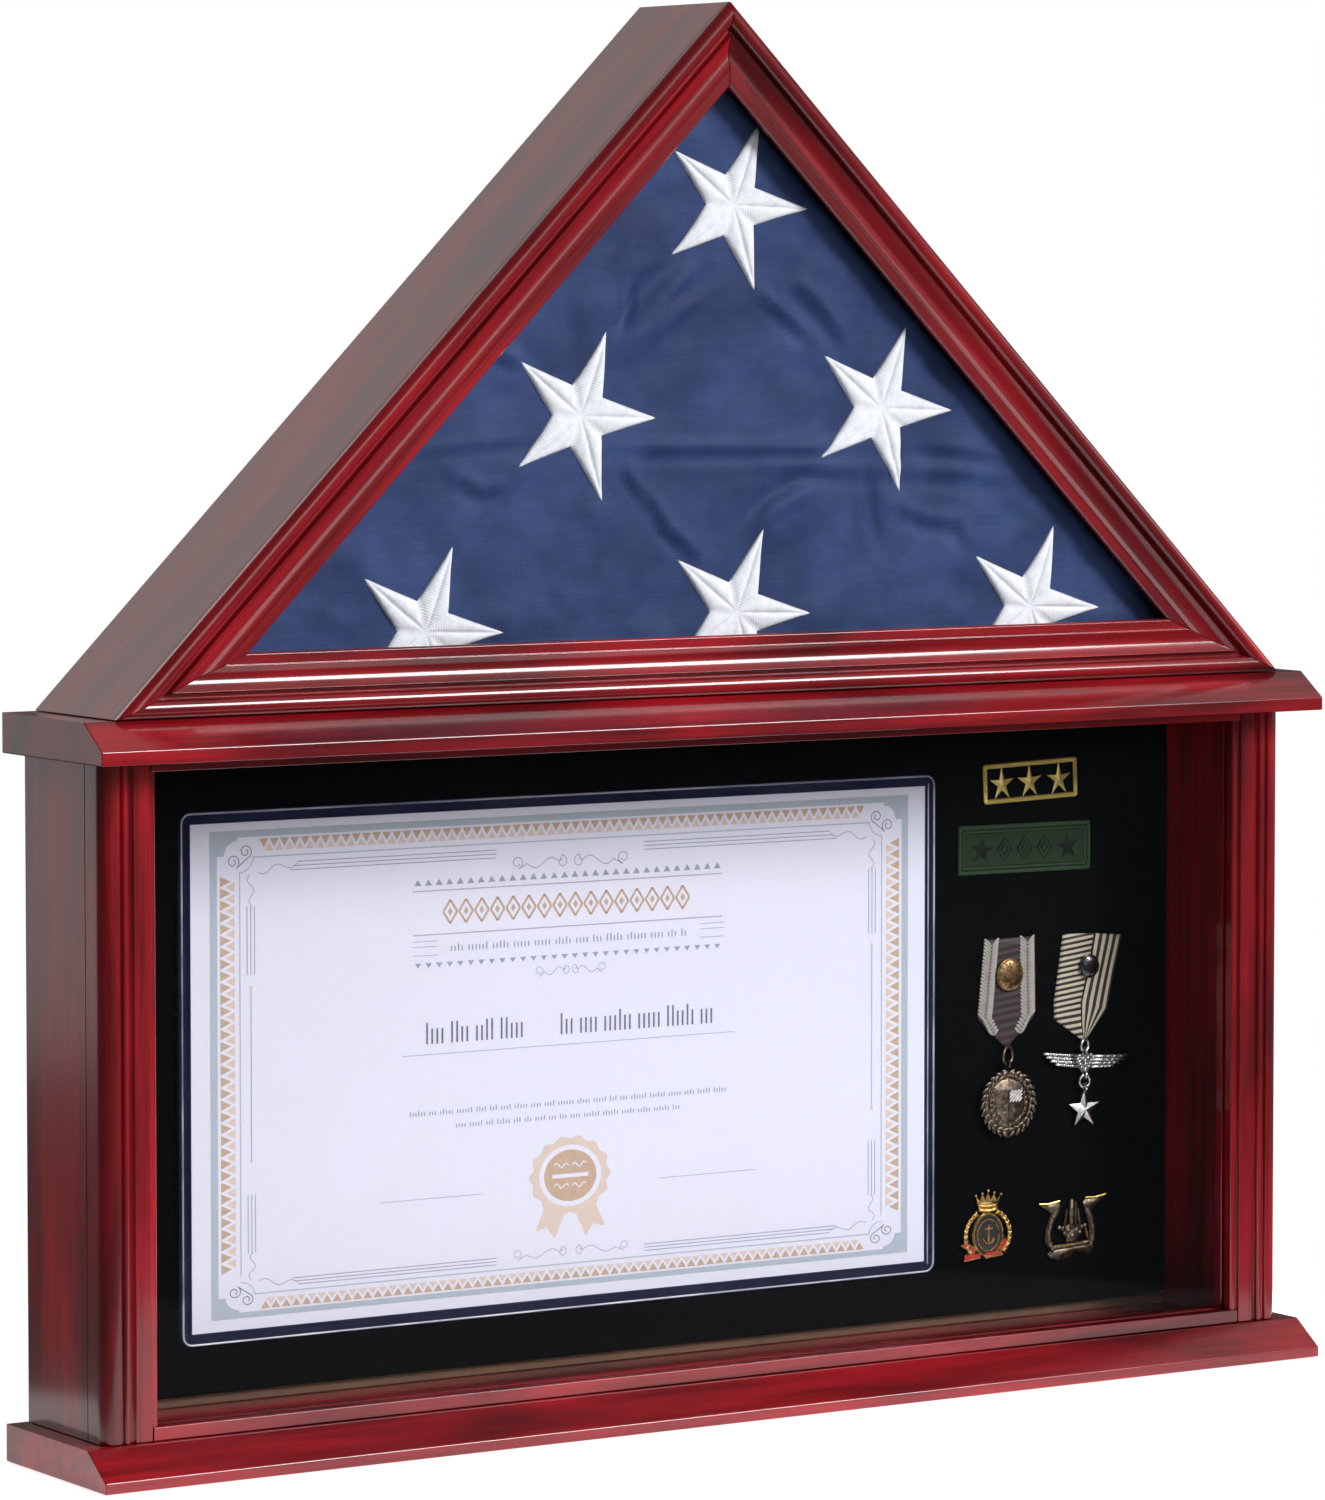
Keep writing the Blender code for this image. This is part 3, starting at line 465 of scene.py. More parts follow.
STAR_PLACES = (
    (0.009, 0.555), (-0.073, 0.460), (0.0905, 0.4615), (-0.154, 0.365), (0.011, 0.369), (0.176, 0.367),
)
STAR_REACH = 0.0410
STAR_NOTCH = 0.36
STAR_TURN = -2
STAR_EDGE = 0.0007
STAR_PUFF = 0.0017
STAR_CELLS = 14
STAR_FOLLOW = 0.45  # share of the cloth's fall that a star follows back
STAR_SINK = 0.0025  # the most that a star's tip follows the cloth back
LOW_STAR_MIDDLE = 0.37  # height at which the lowest stars' depth is taken
LOW_STAR_CUT = 0.007  # how far above the cloth's foot the lowest stars end
CLOTH_FRONT = 0.0026  # how far the cloth stays behind the front of its CAD solid
CLOTH_BACK = 0.0022  # and in front of its back
CREASE_ROOM = 0.0032  # how much further back it lies before it is creased
HELD_REACH = 0.037  # how far from its middle a star keeps the cloth flat
HELD_SHARE = 0.9
CREASE_DEPTH = 1.9
PUCKER_DEPTH = 1.6
PUCKER_RISE = 0.0005
PUCKER_REACH = 0.040
PUCKER_WIDTH = 0.014
SOFT_WAVE = 0.0008
FINE_WAVE = 0.0003
CLOTH_INSET = 0.004
CLOTH_VOXEL = 0.005
CLOTH_SWELL = 0.006  # the most that pressure moves the cloth
SEAM_GAP = 0.0001  # between a star's back and the cloth
THREAD_THICKNESS = 0.0004
CREASES = (  # points along it as x and z, half width, height
    (((-0.158, 0.447), (-0.100, 0.451), (-0.047, 0.446), (0.052, 0.4445), (0.106, 0.4455), (0.163, 0.439)),
     0.0026, 0.0013),
    (((0.022, 0.438), (0.056, 0.436), (0.124, 0.433), (0.161, 0.429)), 0.0035, 0.0011),
    (((-0.0065, 0.529), (-0.030, 0.511), (-0.049, 0.489)), 0.0050, 0.0018),
    (((-0.003, 0.517), (-0.0245, 0.505), (-0.037, 0.493)), 0.0040, 0.0015),
    (((-0.043, 0.5215), (-0.0465, 0.508), (-0.052, 0.499)), 0.0020, -0.0018),
    (((0.023, 0.517), (0.038, 0.506), (0.054, 0.494)), 0.0028, 0.0014),
    (((0.0435, 0.523), (0.0615, 0.506), (0.077, 0.487)), 0.0040, 0.0015),
    (((-0.036, 0.426), (-0.0255, 0.409), (-0.004, 0.3925)), 0.0030, 0.0014),
    (((0.0545, 0.426), (0.033, 0.417), (0.0195, 0.407)), 0.0035, 0.0015),
    (((0.0835, 0.437), (0.0845, 0.417), (0.090, 0.395)), 0.0028, -0.0012),
    (((0.096, 0.419), (0.1165, 0.411), (0.135, 0.409), (0.146, 0.395)), 0.0032, 0.0010),
    (((-0.119, 0.492), (-0.1105, 0.4875), (-0.102, 0.484)), 0.0030, 0.0011),
    (((-0.140, 0.436), (-0.1245, 0.4285), (-0.112, 0.431)), 0.0030, 0.0010),
    (((-0.0475, 0.442), (-0.046, 0.433), (-0.037, 0.4225)), 0.0025, 0.0013),
)


def evaluated_mesh(obj):
    bpy.context.view_layer.update()
    return bpy.data.meshes.new_from_object(obj.evaluated_get(bpy.context.evaluated_depsgraph_get()))


def swelled(node):
    """A CAD block made soft: drawn in, filled with pressure as cloth, and held within reach."""
    obj = remade(node)
    draw_in = obj.modifiers.new("draw in", "DISPLACE")
    draw_in.strength = -CLOTH_INSET
    draw_in.mid_level = 0
    cells = obj.modifiers.new("cells", "REMESH")
    cells.mode = "VOXEL"
    cells.voxel_size = CLOTH_VOXEL
    start = evaluated_mesh(obj)
    obj.modifiers.clear()
    obj.data = start
    cloth = obj.modifiers.new("swell", "CLOTH")
    cloth.settings.use_pressure = True
    cloth.settings.uniform_pressure_force = 4
    cloth.settings.effector_weights.gravity = 0
    cloth.point_cache.frame_end = 20
    for step in range(1, 21):
        bpy.context.scene.frame_set(step)
    swollen = evaluated_mesh(obj)
    obj.modifiers.clear()
    bpy.context.scene.frame_set(1)
    rest = points_of(start)
    moved = points_of(swollen) - rest
    length = np.linalg.norm(moved, axis=1, keepdims=True)
    moved *= np.minimum(1, CLOTH_SWELL / np.maximum(length, 1e-9))
    set_points(start, rest + moved)
    return obj


def crease_height(x, z):
    """How far the cloth stands forward in its creases: a ridge with a trough below it."""
    total = np.zeros_like(x)
    for points, width, height in CREASES:
        near = np.full_like(x, 1e9)
        side = np.zeros_like(x)
        fade = np.zeros_like(x)
        for i, ((ax, az), (bx, bz)) in enumerate(zip(points, points[1:])):
            span = math.hypot(bx - ax, bz - az)
            ux, uz = (bx - ax) / span, (bz - az) / span
            along = np.clip((x - ax) * ux + (z - az) * uz, 0, span)
            off_x, off_z = x - ax - along * ux, z - az - along * uz
            off = np.hypot(off_x, off_z)
            closer = off < near
            near = np.where(closer, off, near)
            side = np.where(closer, off_x * uz - off_z * ux, side)
            fade = np.where(closer, (i + along / span) / (len(points) - 1), fade)
        ends = np.sin(np.pi * np.clip(fade, 0.02, 0.98)) ** 0.6
        ridge = np.exp(-(near / width) ** 2)
        trough = 0.55 * np.exp(-((near - 1.9 * width) / width) ** 2) * (side > 0)
        total += height * ends * (ridge - trough)
    return total


def pucker(x, z):
    """The cloth drawn in a little round each star's embroidery."""
    total = np.zeros_like(x)
    for sx, sz in STAR_PLACES:
        away = np.hypot(x - sx, z - sz)
        turn = np.arctan2(z - sz, x - sx)
        rays = np.cos(5 * (turn - math.radians(STAR_TURN)) + 0.4) + 0.6 * np.cos(11 * turn + 50 * sx)
        total += PUCKER_RISE * rays * np.exp(-((away - PUCKER_REACH) / PUCKER_WIDTH) ** 2)
    return total


def held_flat(x, z):
    """1 under a star's stiff embroidery, falling to 0 outside it."""
    held = np.zeros_like(x)
    for sx, sz in STAR_PLACES:
        away = np.hypot(x - sx, z - sz)
        held = np.maximum(held, np.exp(-(away / HELD_REACH) ** 6))
    return held


def flag_room():
    """The CAD solid's front, back and floor, and the height of the sides' meeting point."""
    low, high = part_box("folded_flag")
    pane_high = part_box("flag_glass")[1]
    clearance = 0.0012
    return low.y + CLOTH_FRONT, high.y - CLOTH_BACK, low.z, pane_high.z - clearance * math.sqrt(2)


def hold_in(points, slack=0.0):
    """Keeps points within the case: between front and back, above the floor and under the slopes."""
    front, back, floor, peak = flag_room()
    points[:, 1] = np.clip(points[:, 1], front + slack, back)
    points[:, 2] = np.maximum(points[:, 2], floor)
    over = np.maximum(0, np.abs(points[:, 0]) + points[:, 2] - peak) / 2
    points[:, 0] -= np.sign(points[:, 0]) * over
    points[:, 2] -= over


def subdivided(mesh):
    work = bmesh.new()
    work.from_mesh(mesh)
    bmesh.ops.subdivide_edges(work, edges=work.edges, cuts=1, use_grid_fill=True, smooth=0.6)
    work.to_mesh(mesh)
    work.free()


def wrinkle(mesh):
    """Moves the front in its creases, and keeps the cloth within the case."""
    points = points_of(mesh)
    normals = np.empty(len(mesh.vertices) * 3)
    mesh.vertices.foreach_get("normal", normals)
    facing = np.clip(-normals.reshape(-1, 3)[:, 1], 0, 1) ** 2
    x, z = points[:, 0], points[:, 2]
    soft, fine = [], []
    for a, b in zip(x, z):
        soft.append(noise.fractal(Vector((16 * a, 3, 22 * b)), 1, 2, 3))
        fine.append(noise.ridged_multi_fractal(Vector((30 * a + 12 * b, 9, 55 * b)), 1, 2, 3, 1, 2))
    height = CREASE_DEPTH * crease_height(x, z) + PUCKER_DEPTH * pucker(x, z)
    height += SOFT_WAVE * np.array(soft) + FINE_WAVE * np.array(fine)
    points[:, 1] -= facing * height * (1 - HELD_SHARE * held_flat(x, z))
    hold_in(points)
    set_points(mesh, points)
    mesh.update()


def star_facet(work, layer, centre, tip, notch):
    """One of a star's ten lobes, puffed between its two seams and thin at its outer edge."""
    width = abs((tip - centre).cross(notch - tip).y) / (notch - tip).length
    axis = (tip - centre).normalized()
    rows = []
    for i in range(STAR_CELLS + 1):
        row = []
        for j in range(STAR_CELLS + 1 - i):
            b, c = i / STAR_CELLS, j / STAR_CELLS
            a = max(0.0, 1 - b - c)
            flat = centre * a + tip * b + notch * c
            edge = 1 - math.exp(-a * width / 0.0009)
            puff = (27 * a * b * c) ** 0.5
            vert = work.verts.new((flat.x, -(STAR_EDGE * edge + STAR_PUFF * puff), flat.z))
            row.append((vert, (c, (flat - centre).dot(axis))))
        rows.append(row)
    for i in range(STAR_CELLS):
        for j in range(STAR_CELLS - i):
            add_mapped(work, layer, [rows[i][j], rows[i + 1][j], rows[i][j + 1]])
            if j < STAR_CELLS - i - 1:
                add_mapped(work, layer, [rows[i + 1][j], rows[i + 1][j + 1], rows[i][j + 1]])


def add_mapped(work, layer, corners):
    """A face whose corners are given with their UVs."""
    face = work.faces.new([vert for vert, _ in corners])
    for loop, (_, uv) in zip(face.loops, corners):
        loop[layer].uv = uv


def star_patch(lowest):
    """A star in relief about its middle, cut off at its lowest height."""
    work = bmesh.new()
    layer = work.loops.layers.uv.new("stitches")
    middle = Vector((0, 0, 0))
    for i in range(10):
        ends = []
        for k in (i, i + 1):
            reach = STAR_REACH if k % 2 == 0 else STAR_NOTCH * STAR_REACH
            angle = math.radians(STAR_TURN + 36 * k)
            ends.append(Vector((reach * math.cos(angle), 0, reach * math.sin(angle))))
        tip, notch = ends if i % 2 == 0 else reversed(ends)
        star_facet(work, layer, middle, tip, notch)
    bmesh.ops.remove_doubles(work, verts=work.verts, dist=1e-6)
    bmesh.ops.bisect_plane(
        work, geom=work.verts[:] + work.edges[:] + work.faces[:],
        plane_co=(0, 0, lowest), plane_no=(0, 0, -1), clear_outer=True,
    )
    bmesh.ops.recalc_face_normals(work, faces=work.faces)
    if sum(face.normal.y for face in work.faces) > 0:
        bmesh.ops.reverse_faces(work, faces=work.faces)
    return mesh_of(work, "star")


def flat_size(mesh):
    """Width and height of a patch."""
    points = points_of(mesh)
    size = points.max(0) - points.min(0)
    return float(size[0]), float(size[2])


def flag():
    """The folded cloth, swelled and creased, with its six stars."""
    soft = swelled("folded_flag")
    points = points_of(soft.data)
    hold_in(points, CREASE_ROOM)
    set_points(soft.data, points)
    subdivided(soft.data)
    wrinkle(soft.data)
    soft.data.shade_smooth()
    link(soft, "folded_flag_cloth", "flag_cloth", "flag_cloth", "case", "folded_flag")
    bpy.context.view_layer.update()
    for number, (x, z) in enumerate(STAR_PLACES, 1):
        sew_star(soft, f"flag_star_{number}", x, z)


def sew_star(cloth, name, x, z):
    """Lays a star on the cloth, following its surface."""
    mesh = star_patch(flag_room()[2] + LOW_STAR_CUT - z)
    flat = flat_size(mesh)
    area = float(sum(abs(face.area * face.normal.y) for face in mesh.polygons))
    middle = cloth_front(cloth, x, max(z, LOW_STAR_MIDDLE))
    points = points_of(mesh)
    for point in points:
        sunk = cloth_front(cloth, x + point[0], z + point[2]) - middle
        point[1] += sunk if sunk < 0 else min(STAR_FOLLOW * sunk, STAR_SINK)
    set_points(mesh, points)
    star = placed(name, mesh)
    star.location = (x, middle + SEAM_GAP, z)
    thicken(star, THREAD_THICKNESS)
    mesh.shade_smooth()
    link(star, name, "star_thread", "flag_cloth", "case")
    area = min(area, flat[0] * flat[1])


def cloth_front(cloth, x, z):
    """Depth of the cloth's front at a place."""
    hit, place, _, _ = cloth.ray_cast(Vector((x, -0.2, z)), Vector((0, 1, 0)))
    return place.y if hit else flag_room()[0]


# Flat drawing and small solids

class Heap:
    """Faces and small solids gathered into one mesh. Outlines are given as x and z."""

    def __init__(self):
        self.work = bmesh.new()
        self.layer = self.work.loops.layers.uv.new("run")

    def add(self, outline, y):
        verts = [self.work.verts.new((x, y, z)) for x, z in outline]
        return self.work.faces.new(verts)

    def slab(self, outline, front, thickness, inset=0.0):
        """A plate whose front edge is chamfered by inset."""
        face = self.add(outline, front + thickness)
        made = bmesh.ops.extrude_face_region(self.work, geom=[face])
        ring = [item for item in made["geom"] if isinstance(item, bmesh.types.BMVert)]
        for vert in ring:
            vert.co.y = front + inset
        if inset:
            top = [item for item in made["geom"] if isinstance(item, bmesh.types.BMFace)]
            bmesh.ops.inset_region(self.work, faces=top, thickness=inset, depth=0)
            for face in top:
                for vert in face.verts:
                    vert.co.y = front

    def stroke(self, points, width, y):
        """A flat line through the points."""
        for a, b in zip(points, points[1:]):
            run = Vector((b[0] - a[0], b[1] - a[1]))
            if run.length < 1e-7:
                continue
            side = Vector((-run.y, run.x)).normalized() * width / 2
            self.add([(a[0] + side.x, a[1] + side.y), (b[0] + side.x, b[1] + side.y),
                      (b[0] - side.x, b[1] - side.y), (a[0] - side.x, a[1] - side.y)], y)

    def blob(self, x, y, z, size, tilt=0.0, detail=2):
        """An ellipsoid, its size given along its own x, y and z, turned in the front plane."""
        made = bmesh.ops.create_icosphere(self.work, subdivisions=detail, radius=1)
        turn = Matrix.Rotation(-math.radians(tilt), 4, "Y")
        place = Matrix.Translation((x, y, z)) @ turn @ Matrix.Diagonal((*size, 1))
        bmesh.ops.transform(self.work, matrix=place, verts=made["verts"])

    def tube(self, points, radius, y, sides=8, flat=1.0):
        """A round bar through the points with domed ends."""
        line = [Vector((px, y, pz)) for px, pz in points]
        rings = []
        for i, point in enumerate(line):
            run = (line[min(i + 1, len(line) - 1)] - line[max(i - 1, 0)]).normalized()
            across = run.cross(Vector((0, 1, 0))).normalized()
            ring = []
            for k in range(sides):
                angle = 2 * math.pi * k / sides
                aside = across * radius * math.cos(angle)
                forward = Vector((0, 1, 0)) * radius * flat * math.sin(angle)
                ring.append(self.work.verts.new(point + (aside + forward)))
            rings.append(ring)
        self.skin(rings)
        for ring, point, near in ((rings[0], line[0], line[1]), (rings[-1], line[-1], line[-2])):
            tip = self.work.verts.new(point + (point - near).normalized() * radius * 0.7)
            for k in range(sides):
                self.work.faces.new((ring[k], ring[(k + 1) % sides], tip))

    def skin(self, rings):
        """Faces between each ring of vertices and the next."""
        for one, two in zip(rings, rings[1:]):
            for k in range(len(one)):
                following = (k + 1) % len(one)
                self.work.faces.new((one[k], one[following], two[following], two[k]))

    def star(self, x, y, z, radius, rise, turn=90, notch=0.4, stretch=(1, 1)):
        """A faceted star standing forward from its back at y."""
        centre = self.work.verts.new((x, y - rise, z))
        back = self.work.verts.new((x, y, z))
        rim = []
        for k in range(10):
            reach = radius if k % 2 == 0 else radius * notch
            angle = math.radians(turn + 36 * k)
            u, v = reach * stretch[0] * math.cos(angle), reach * stretch[1] * math.sin(angle)
            rim.append(self.work.verts.new((x + u, y - rise * 0.25, z + v)))
        for k in range(10):
            self.work.faces.new((centre, rim[k], rim[(k + 1) % 10]))
            self.work.faces.new((back, rim[(k + 1) % 10], rim[k]))

    def finish(self, name, material, slot, body, *replaced, smooth=40):
        """A piece of it all. Smooth is the sharpest angle shaded round, or None for flat drawing."""
        if smooth is None:
            away = [face for face in self.work.faces if turned_away(face)]
            bmesh.ops.reverse_faces(self.work, faces=away)
        else:
            bmesh.ops.recalc_face_normals(self.work, faces=self.work.faces)
        mesh = mesh_of(self.work, name)
        if smooth is not None:
            mesh.shade_smooth()
            mesh.set_sharp_from_angle(angle=math.radians(smooth))
        return link(placed(name, mesh), name, material, slot, body, *replaced)


def turned_away(face):
    face.normal_update()
    return face.normal.y > 0


def point_on(centre, radius, angle):
    return centre[0] + radius * math.cos(angle), centre[1] + radius * math.sin(angle)


def arc(centre, radius, start, end, steps):
    turns = [start + (end - start) * i / steps for i in range(steps + 1)]
    return [point_on(centre, radius, math.radians(turn)) for turn in turns]


def spiral(centre, start_radius, end_radius, start, turn, steps=28):
    points = []
    for i in range(steps + 1):
        t = i / steps
        radius = start_radius + (end_radius - start_radius) * t
        points.append(point_on(centre, radius, math.radians(start + turn * t)))
    return points


def round_box(left, right, bottom, top, radius, steps=6):
    points = []
    for x, z, start in ((right - radius, top - radius, 0), (left + radius, top - radius, 90),
                        (left + radius, bottom + radius, 180), (right - radius, bottom + radius, 270)):
        points += arc((x, z), radius, start, start + 90, steps)
    return points


# The certificate. Its printing is placed from the sheet's middle and edges, and by height.

SIDE_MARGIN = 0.0098
LOW_MARGIN = 0.0053
TOP_MARGIN = 0.0037
INK_LIFT = 0.00006
INK_THICKNESS = 0.00003


class Print:
    """The printed sheet: one heap of flat faces for each ink."""

    def __init__(self):
        low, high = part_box("certificate_paper")
        self.middle = (low.x + high.x) / 2
        self.left, self.right = low.x + SIDE_MARGIN, high.x - SIDE_MARGIN
        self.bottom, self.top = low.z + LOW_MARGIN, high.z - TOP_MARGIN
        self.y = low.y - INK_LIFT
        self.inks = {}

    def ink(self, name):
        if name not in self.inks:
            self.inks[name] = Heap()
        return self.inks[name]

    def line(self, ink, points, width):
        self.ink(ink).stroke(points, width, self.y)

    def fill(self, ink, outline, lift=0.0):
        self.ink(ink).add(outline, self.y - lift)

    def bar(self, ink, left, right, bottom, top, lift=0.0):
        self.fill(ink, [(left, bottom), (right, bottom), (right, top), (left, top)], lift)

    def both(self, points):
        """The points, and their mirror image about the middle of the sheet."""
        return points, [(2 * self.middle - x, z) for x, z in points]

    def corners(self, points):
        """The points, given in and down from the border's top left corner, at all four corners."""
        for sx, sz in ((1, 1), (-1, 1), (-1, -1), (1, -1)):
            x = self.left if sx == 1 else self.right
            z = self.top if sz == 1 else self.bottom
            yield [(x + sx * u, z - sz * v * (1 if sz == 1 else BOTTOM_SHARE)) for u, v in points]


# The border, as distances in from its outer edge. Along the bottom they are a little smaller.
BOTTOM_SHARE = 0.85
BAND = (0.0037, 0.0031)
BLOCK = (0.0141, 0.0114)
TEETH = (0.0052, 0.0041)
TEETH_DEPTH = (0.0074, 0.0055)
TEETH_START = (0.0250, 0.0200)
TEETH_PITCH = 0.0053
LINE_IN = (0.0152, 0.0123)
SCROLL = (0.0150, 0.0118)
RULES_DOWN = (0.0153, 0.0171, 0.0189)
RULES_IN = (0.0189, 0.0208, 0.0227)


def border(sheet):
    """Grey outer band with bitten corner blocks, and inside it a band of tan teeth."""
    bite = arc(BLOCK, 0.0068, 270, 180, 8)
    for outline in sheet.corners([(0, 0), (BLOCK[0], 0), *bite, (0, BLOCK[1])]):
        sheet.fill("grey_ink", outline)
    left, right, bottom, top = sheet.left, sheet.right, sheet.bottom, sheet.top
    sheet.bar("grey_ink", left + BLOCK[0], right - BLOCK[0], top - BAND[1], top)
    sheet.bar("grey_ink", left + BLOCK[0], right - BLOCK[0], bottom, bottom + BAND[1] * BOTTOM_SHARE)
    for x in (left, right - BAND[0]):
        sheet.bar("grey_ink", x, x + BAND[0], bottom + BLOCK[1] * BOTTOM_SHARE, top - BLOCK[1])
    start, end = left + TEETH_START[0], right - TEETH_START[0]
    z = top - TEETH[1]
    toothed(sheet, (start, z), (end, z), TEETH_DEPTH[1], -1)
    z = bottom + TEETH[1] * BOTTOM_SHARE
    toothed(sheet, (start, z), (end, z), TEETH_DEPTH[1] * BOTTOM_SHARE, 1)
    for x, side in ((left + TEETH[0], -1), (right - TEETH[0], 1)):
        toothed(sheet, (x, bottom + TEETH_START[1]), (x, top - TEETH_START[1]), TEETH_DEPTH[0], side)
    inner_lines(sheet)


def toothed(sheet, start, end, depth, side):
    """Triangles pointing in, and paler ones pointing out between them, with a bare zigzag left."""
    run = Vector((end[0] - start[0], end[1] - start[1]))
    count = round(run.length / TEETH_PITCH)
    step = run / count
    inward = Vector((-step.y, step.x)).normalized() * depth * side
    for i in range(count):
        base = Vector(start) + step * i
        wide = [base + step * 0.06, base + step * 0.94, base + step * 0.5 + inward * 0.72]
        sheet.fill("tan_ink", [tuple(point) for point in wide])
        if i < count - 1:
            edge = base + inward
            narrow = [edge + step * 0.58, edge + step * 1.42, edge + step - inward * 0.62]
            sheet.fill("pale_tan_ink", [tuple(point) for point in narrow])


def inner_lines(sheet):
    """The thin line inside the teeth, the scrolls at the corners, and the triple rules."""
    left, right, bottom, top = sheet.left, sheet.right, sheet.bottom, sheet.top
    bulge = 0.0072
    near = SCROLL[0] + bulge
    for z in (top - LINE_IN[1], bottom + LINE_IN[1] * BOTTOM_SHARE):
        sheet.line("grey_ink", [(left + near, z), (right - near, z)], 0.0006)
    for x in (left + LINE_IN[0], right - LINE_IN[0]):
        sheet.line("grey_ink", [(x, bottom + SCROLL[1] + bulge), (x, top - SCROLL[1] - bulge)], 0.0006)
    for outline in sheet.corners(arc(SCROLL, bulge, 0, 90, 8)):
        sheet.line("grey_ink", outline, 0.0005)
    x, z = SCROLL
    upper = spiral((x + 0.0032, z - 0.0022), 0.0009, 0.0034, -60, 500)
    lower = spiral((x - 0.0032, z + 0.0022), 0.0034, 0.0009, 60, -500)
    for outline in sheet.corners(upper + lower):
        sheet.line("dark_grey_ink", outline, 0.00042)
    for start, end in (((0.0240, 0.0190), (0.0447, 0.0160)), ((0.0205, 0.0200), (0.0215, 0.0345))):
        for outline in sheet.corners(wavy(start, end, 0.0015)):
            sheet.line("pale_grey_ink", outline, 0.00035)
    rule = 0.00042
    for number, level in enumerate(RULES_DOWN):
        for outline in sheet.corners([(0.0447 - 0.0018 * number, level), (0.1490, level)]):
            sheet.line("pale_grey_ink", outline, rule)
    for inward in RULES_IN:
        for outline in sheet.corners([(inward, 0.0343), (inward, 0.0653)]):
            sheet.line("pale_grey_ink", outline, rule)
    for x in (left + RULES_IN[1], right - RULES_IN[1]):
        sheet.line("pale_grey_ink", [(x, bottom + 0.0720), (x, top - 0.0720)], rule)
        for z in (bottom + 0.0710, top - 0.0710):
            sheet.fill("pale_tan_ink", [(x - 0.0009, z), (x, z + 0.0014), (x + 0.0009, z), (x, z - 0.0014)])


def wavy(start, end, height, waves=1.5, steps=24):
    run = Vector(end) - Vector(start)
    side = Vector((-run.y, run.x)).normalized() * height
    points = []
    for i in range(steps + 1):
        swing = math.sin(2 * math.pi * waves * i / steps)
        points.append(tuple(Vector(start) + run * (i / steps) + side * swing))
    return points


def scrolls(sheet, z, reach, height, ink, width):
    """A pair of S-shaped scrolls either side of the middle."""
    x = sheet.middle
    scroll = spiral((x + reach * 0.86, z + height * 0.1), height * 0.22, height * 0.5, 200, 420)
    scroll += wavy((x + reach * 0.70, z), (x + reach * 0.18, z), height * 0.35, 1, 16)
    scroll += spiral((x + reach * 0.14, z), height * 0.5, height * 0.12, 90, 400)
    for points in sheet.both(scroll):
        sheet.line(ink, points, width)


def teeth(sheet, ink, left, right, z, size, point):
    """A row of small triangles."""
    count = round((right - left) / 0.0056)
    step = (right - left) / count
    for i in range(count):
        x = left + step * (i + 0.5)
        sheet.fill(ink, [(x - size, z), (x + size, z), (x, z + point)])


def dots(sheet, ink, left, right, z):
    count = round((right - left) / 0.0016)
    step = (right - left) / count
    for i in range(count):
        x = left + step * (i + 0.5)
        sheet.bar(ink, x - 0.0004, x + 0.0004, z - 0.0003, z + 0.0003)


def lozenges(sheet, ink, left, right, z, height):
    """A chain of open lozenges with a small solid one in each: an ornament in place of lettering."""
    count = round((right - left) / (height * 0.8))
    step = (right - left) / count
    for i in range(count):
        x = left + step * (i + 0.5)
        w, h = step * 0.44, height / 2
        sheet.line(ink, [(x - w, z), (x, z + h), (x + w, z), (x, z - h), (x - w, z)], 0.0011)
        sheet.fill(ink, [(x - w * 0.35, z), (x, z + h * 0.35), (x + w * 0.35, z), (x, z - h * 0.35)])


def hatching(sheet, ink, left, right, bottom, height, pitch, width, draw):
    """A run of upright strokes in groups, standing for a line of lettering."""
    x = left
    while x < right:
        group = draw.randint(3, 6)
        for _ in range(group):
            if x > right:
                break
            top = bottom + height * draw.choice((0.72, 0.72, 1.0))
            sheet.line(ink, [(x, bottom), (x, top)], width)
            x += pitch
        x += pitch * 0.9


SEAL_LIFT = 0.00003


def oval(x, z, wide, high, steps=48):
    return [(x + wide * u, z + high * v) for u, v in arc((0, 0), 1, 0, 360 - 360 / steps, steps - 1)]


def seal(sheet):
    """A rosette with two ribbon tails, built up in layers."""
    x, z = sheet.middle - 0.0004, 0.1068
    wide, high = 0.0222, 0.0188
    scallops = []
    for i in range(112):
        angle = 2 * math.pi * i / 112
        share = 0.955 + 0.045 * math.cos(14 * angle)
        scallops.append((x + wide * share * math.cos(angle), z + high * share * math.sin(angle)))
    for side in (-1, 1):
        tail = [(3, -12), (13, -12), (18.8, -24.8), (12.6, -23.4), (8.4, -28.8), (2.4, -16)]
        sheet.fill("pale_tan_ink", [(x + side * u / 1000, z + v / 1000) for u, v in tail])
    sheet.fill("pale_tan_ink", scallops, SEAL_LIFT)
    sheet.fill("paper", oval(x, z, 0.76 * wide, 0.76 * high), 2 * SEAL_LIFT)
    sheet.fill("tan_ink", oval(x, z, 0.64 * wide, 0.64 * high), 3 * SEAL_LIFT)
    white = sheet.ink("paper")
    for level in (0.0048, -0.0048):
        for side in (-1, 1):
            curl = [(x + side * u, z + level + v) for u, v in wavy((0.001, 0), (0.0088, 0.0004), 0.0010)]
            white.stroke(curl, 0.0006, sheet.y - 4 * SEAL_LIFT)
    sheet.bar("paper", x - 0.0098, x + 0.0098, z - 0.0009, z + 0.0009, 4 * SEAL_LIFT)


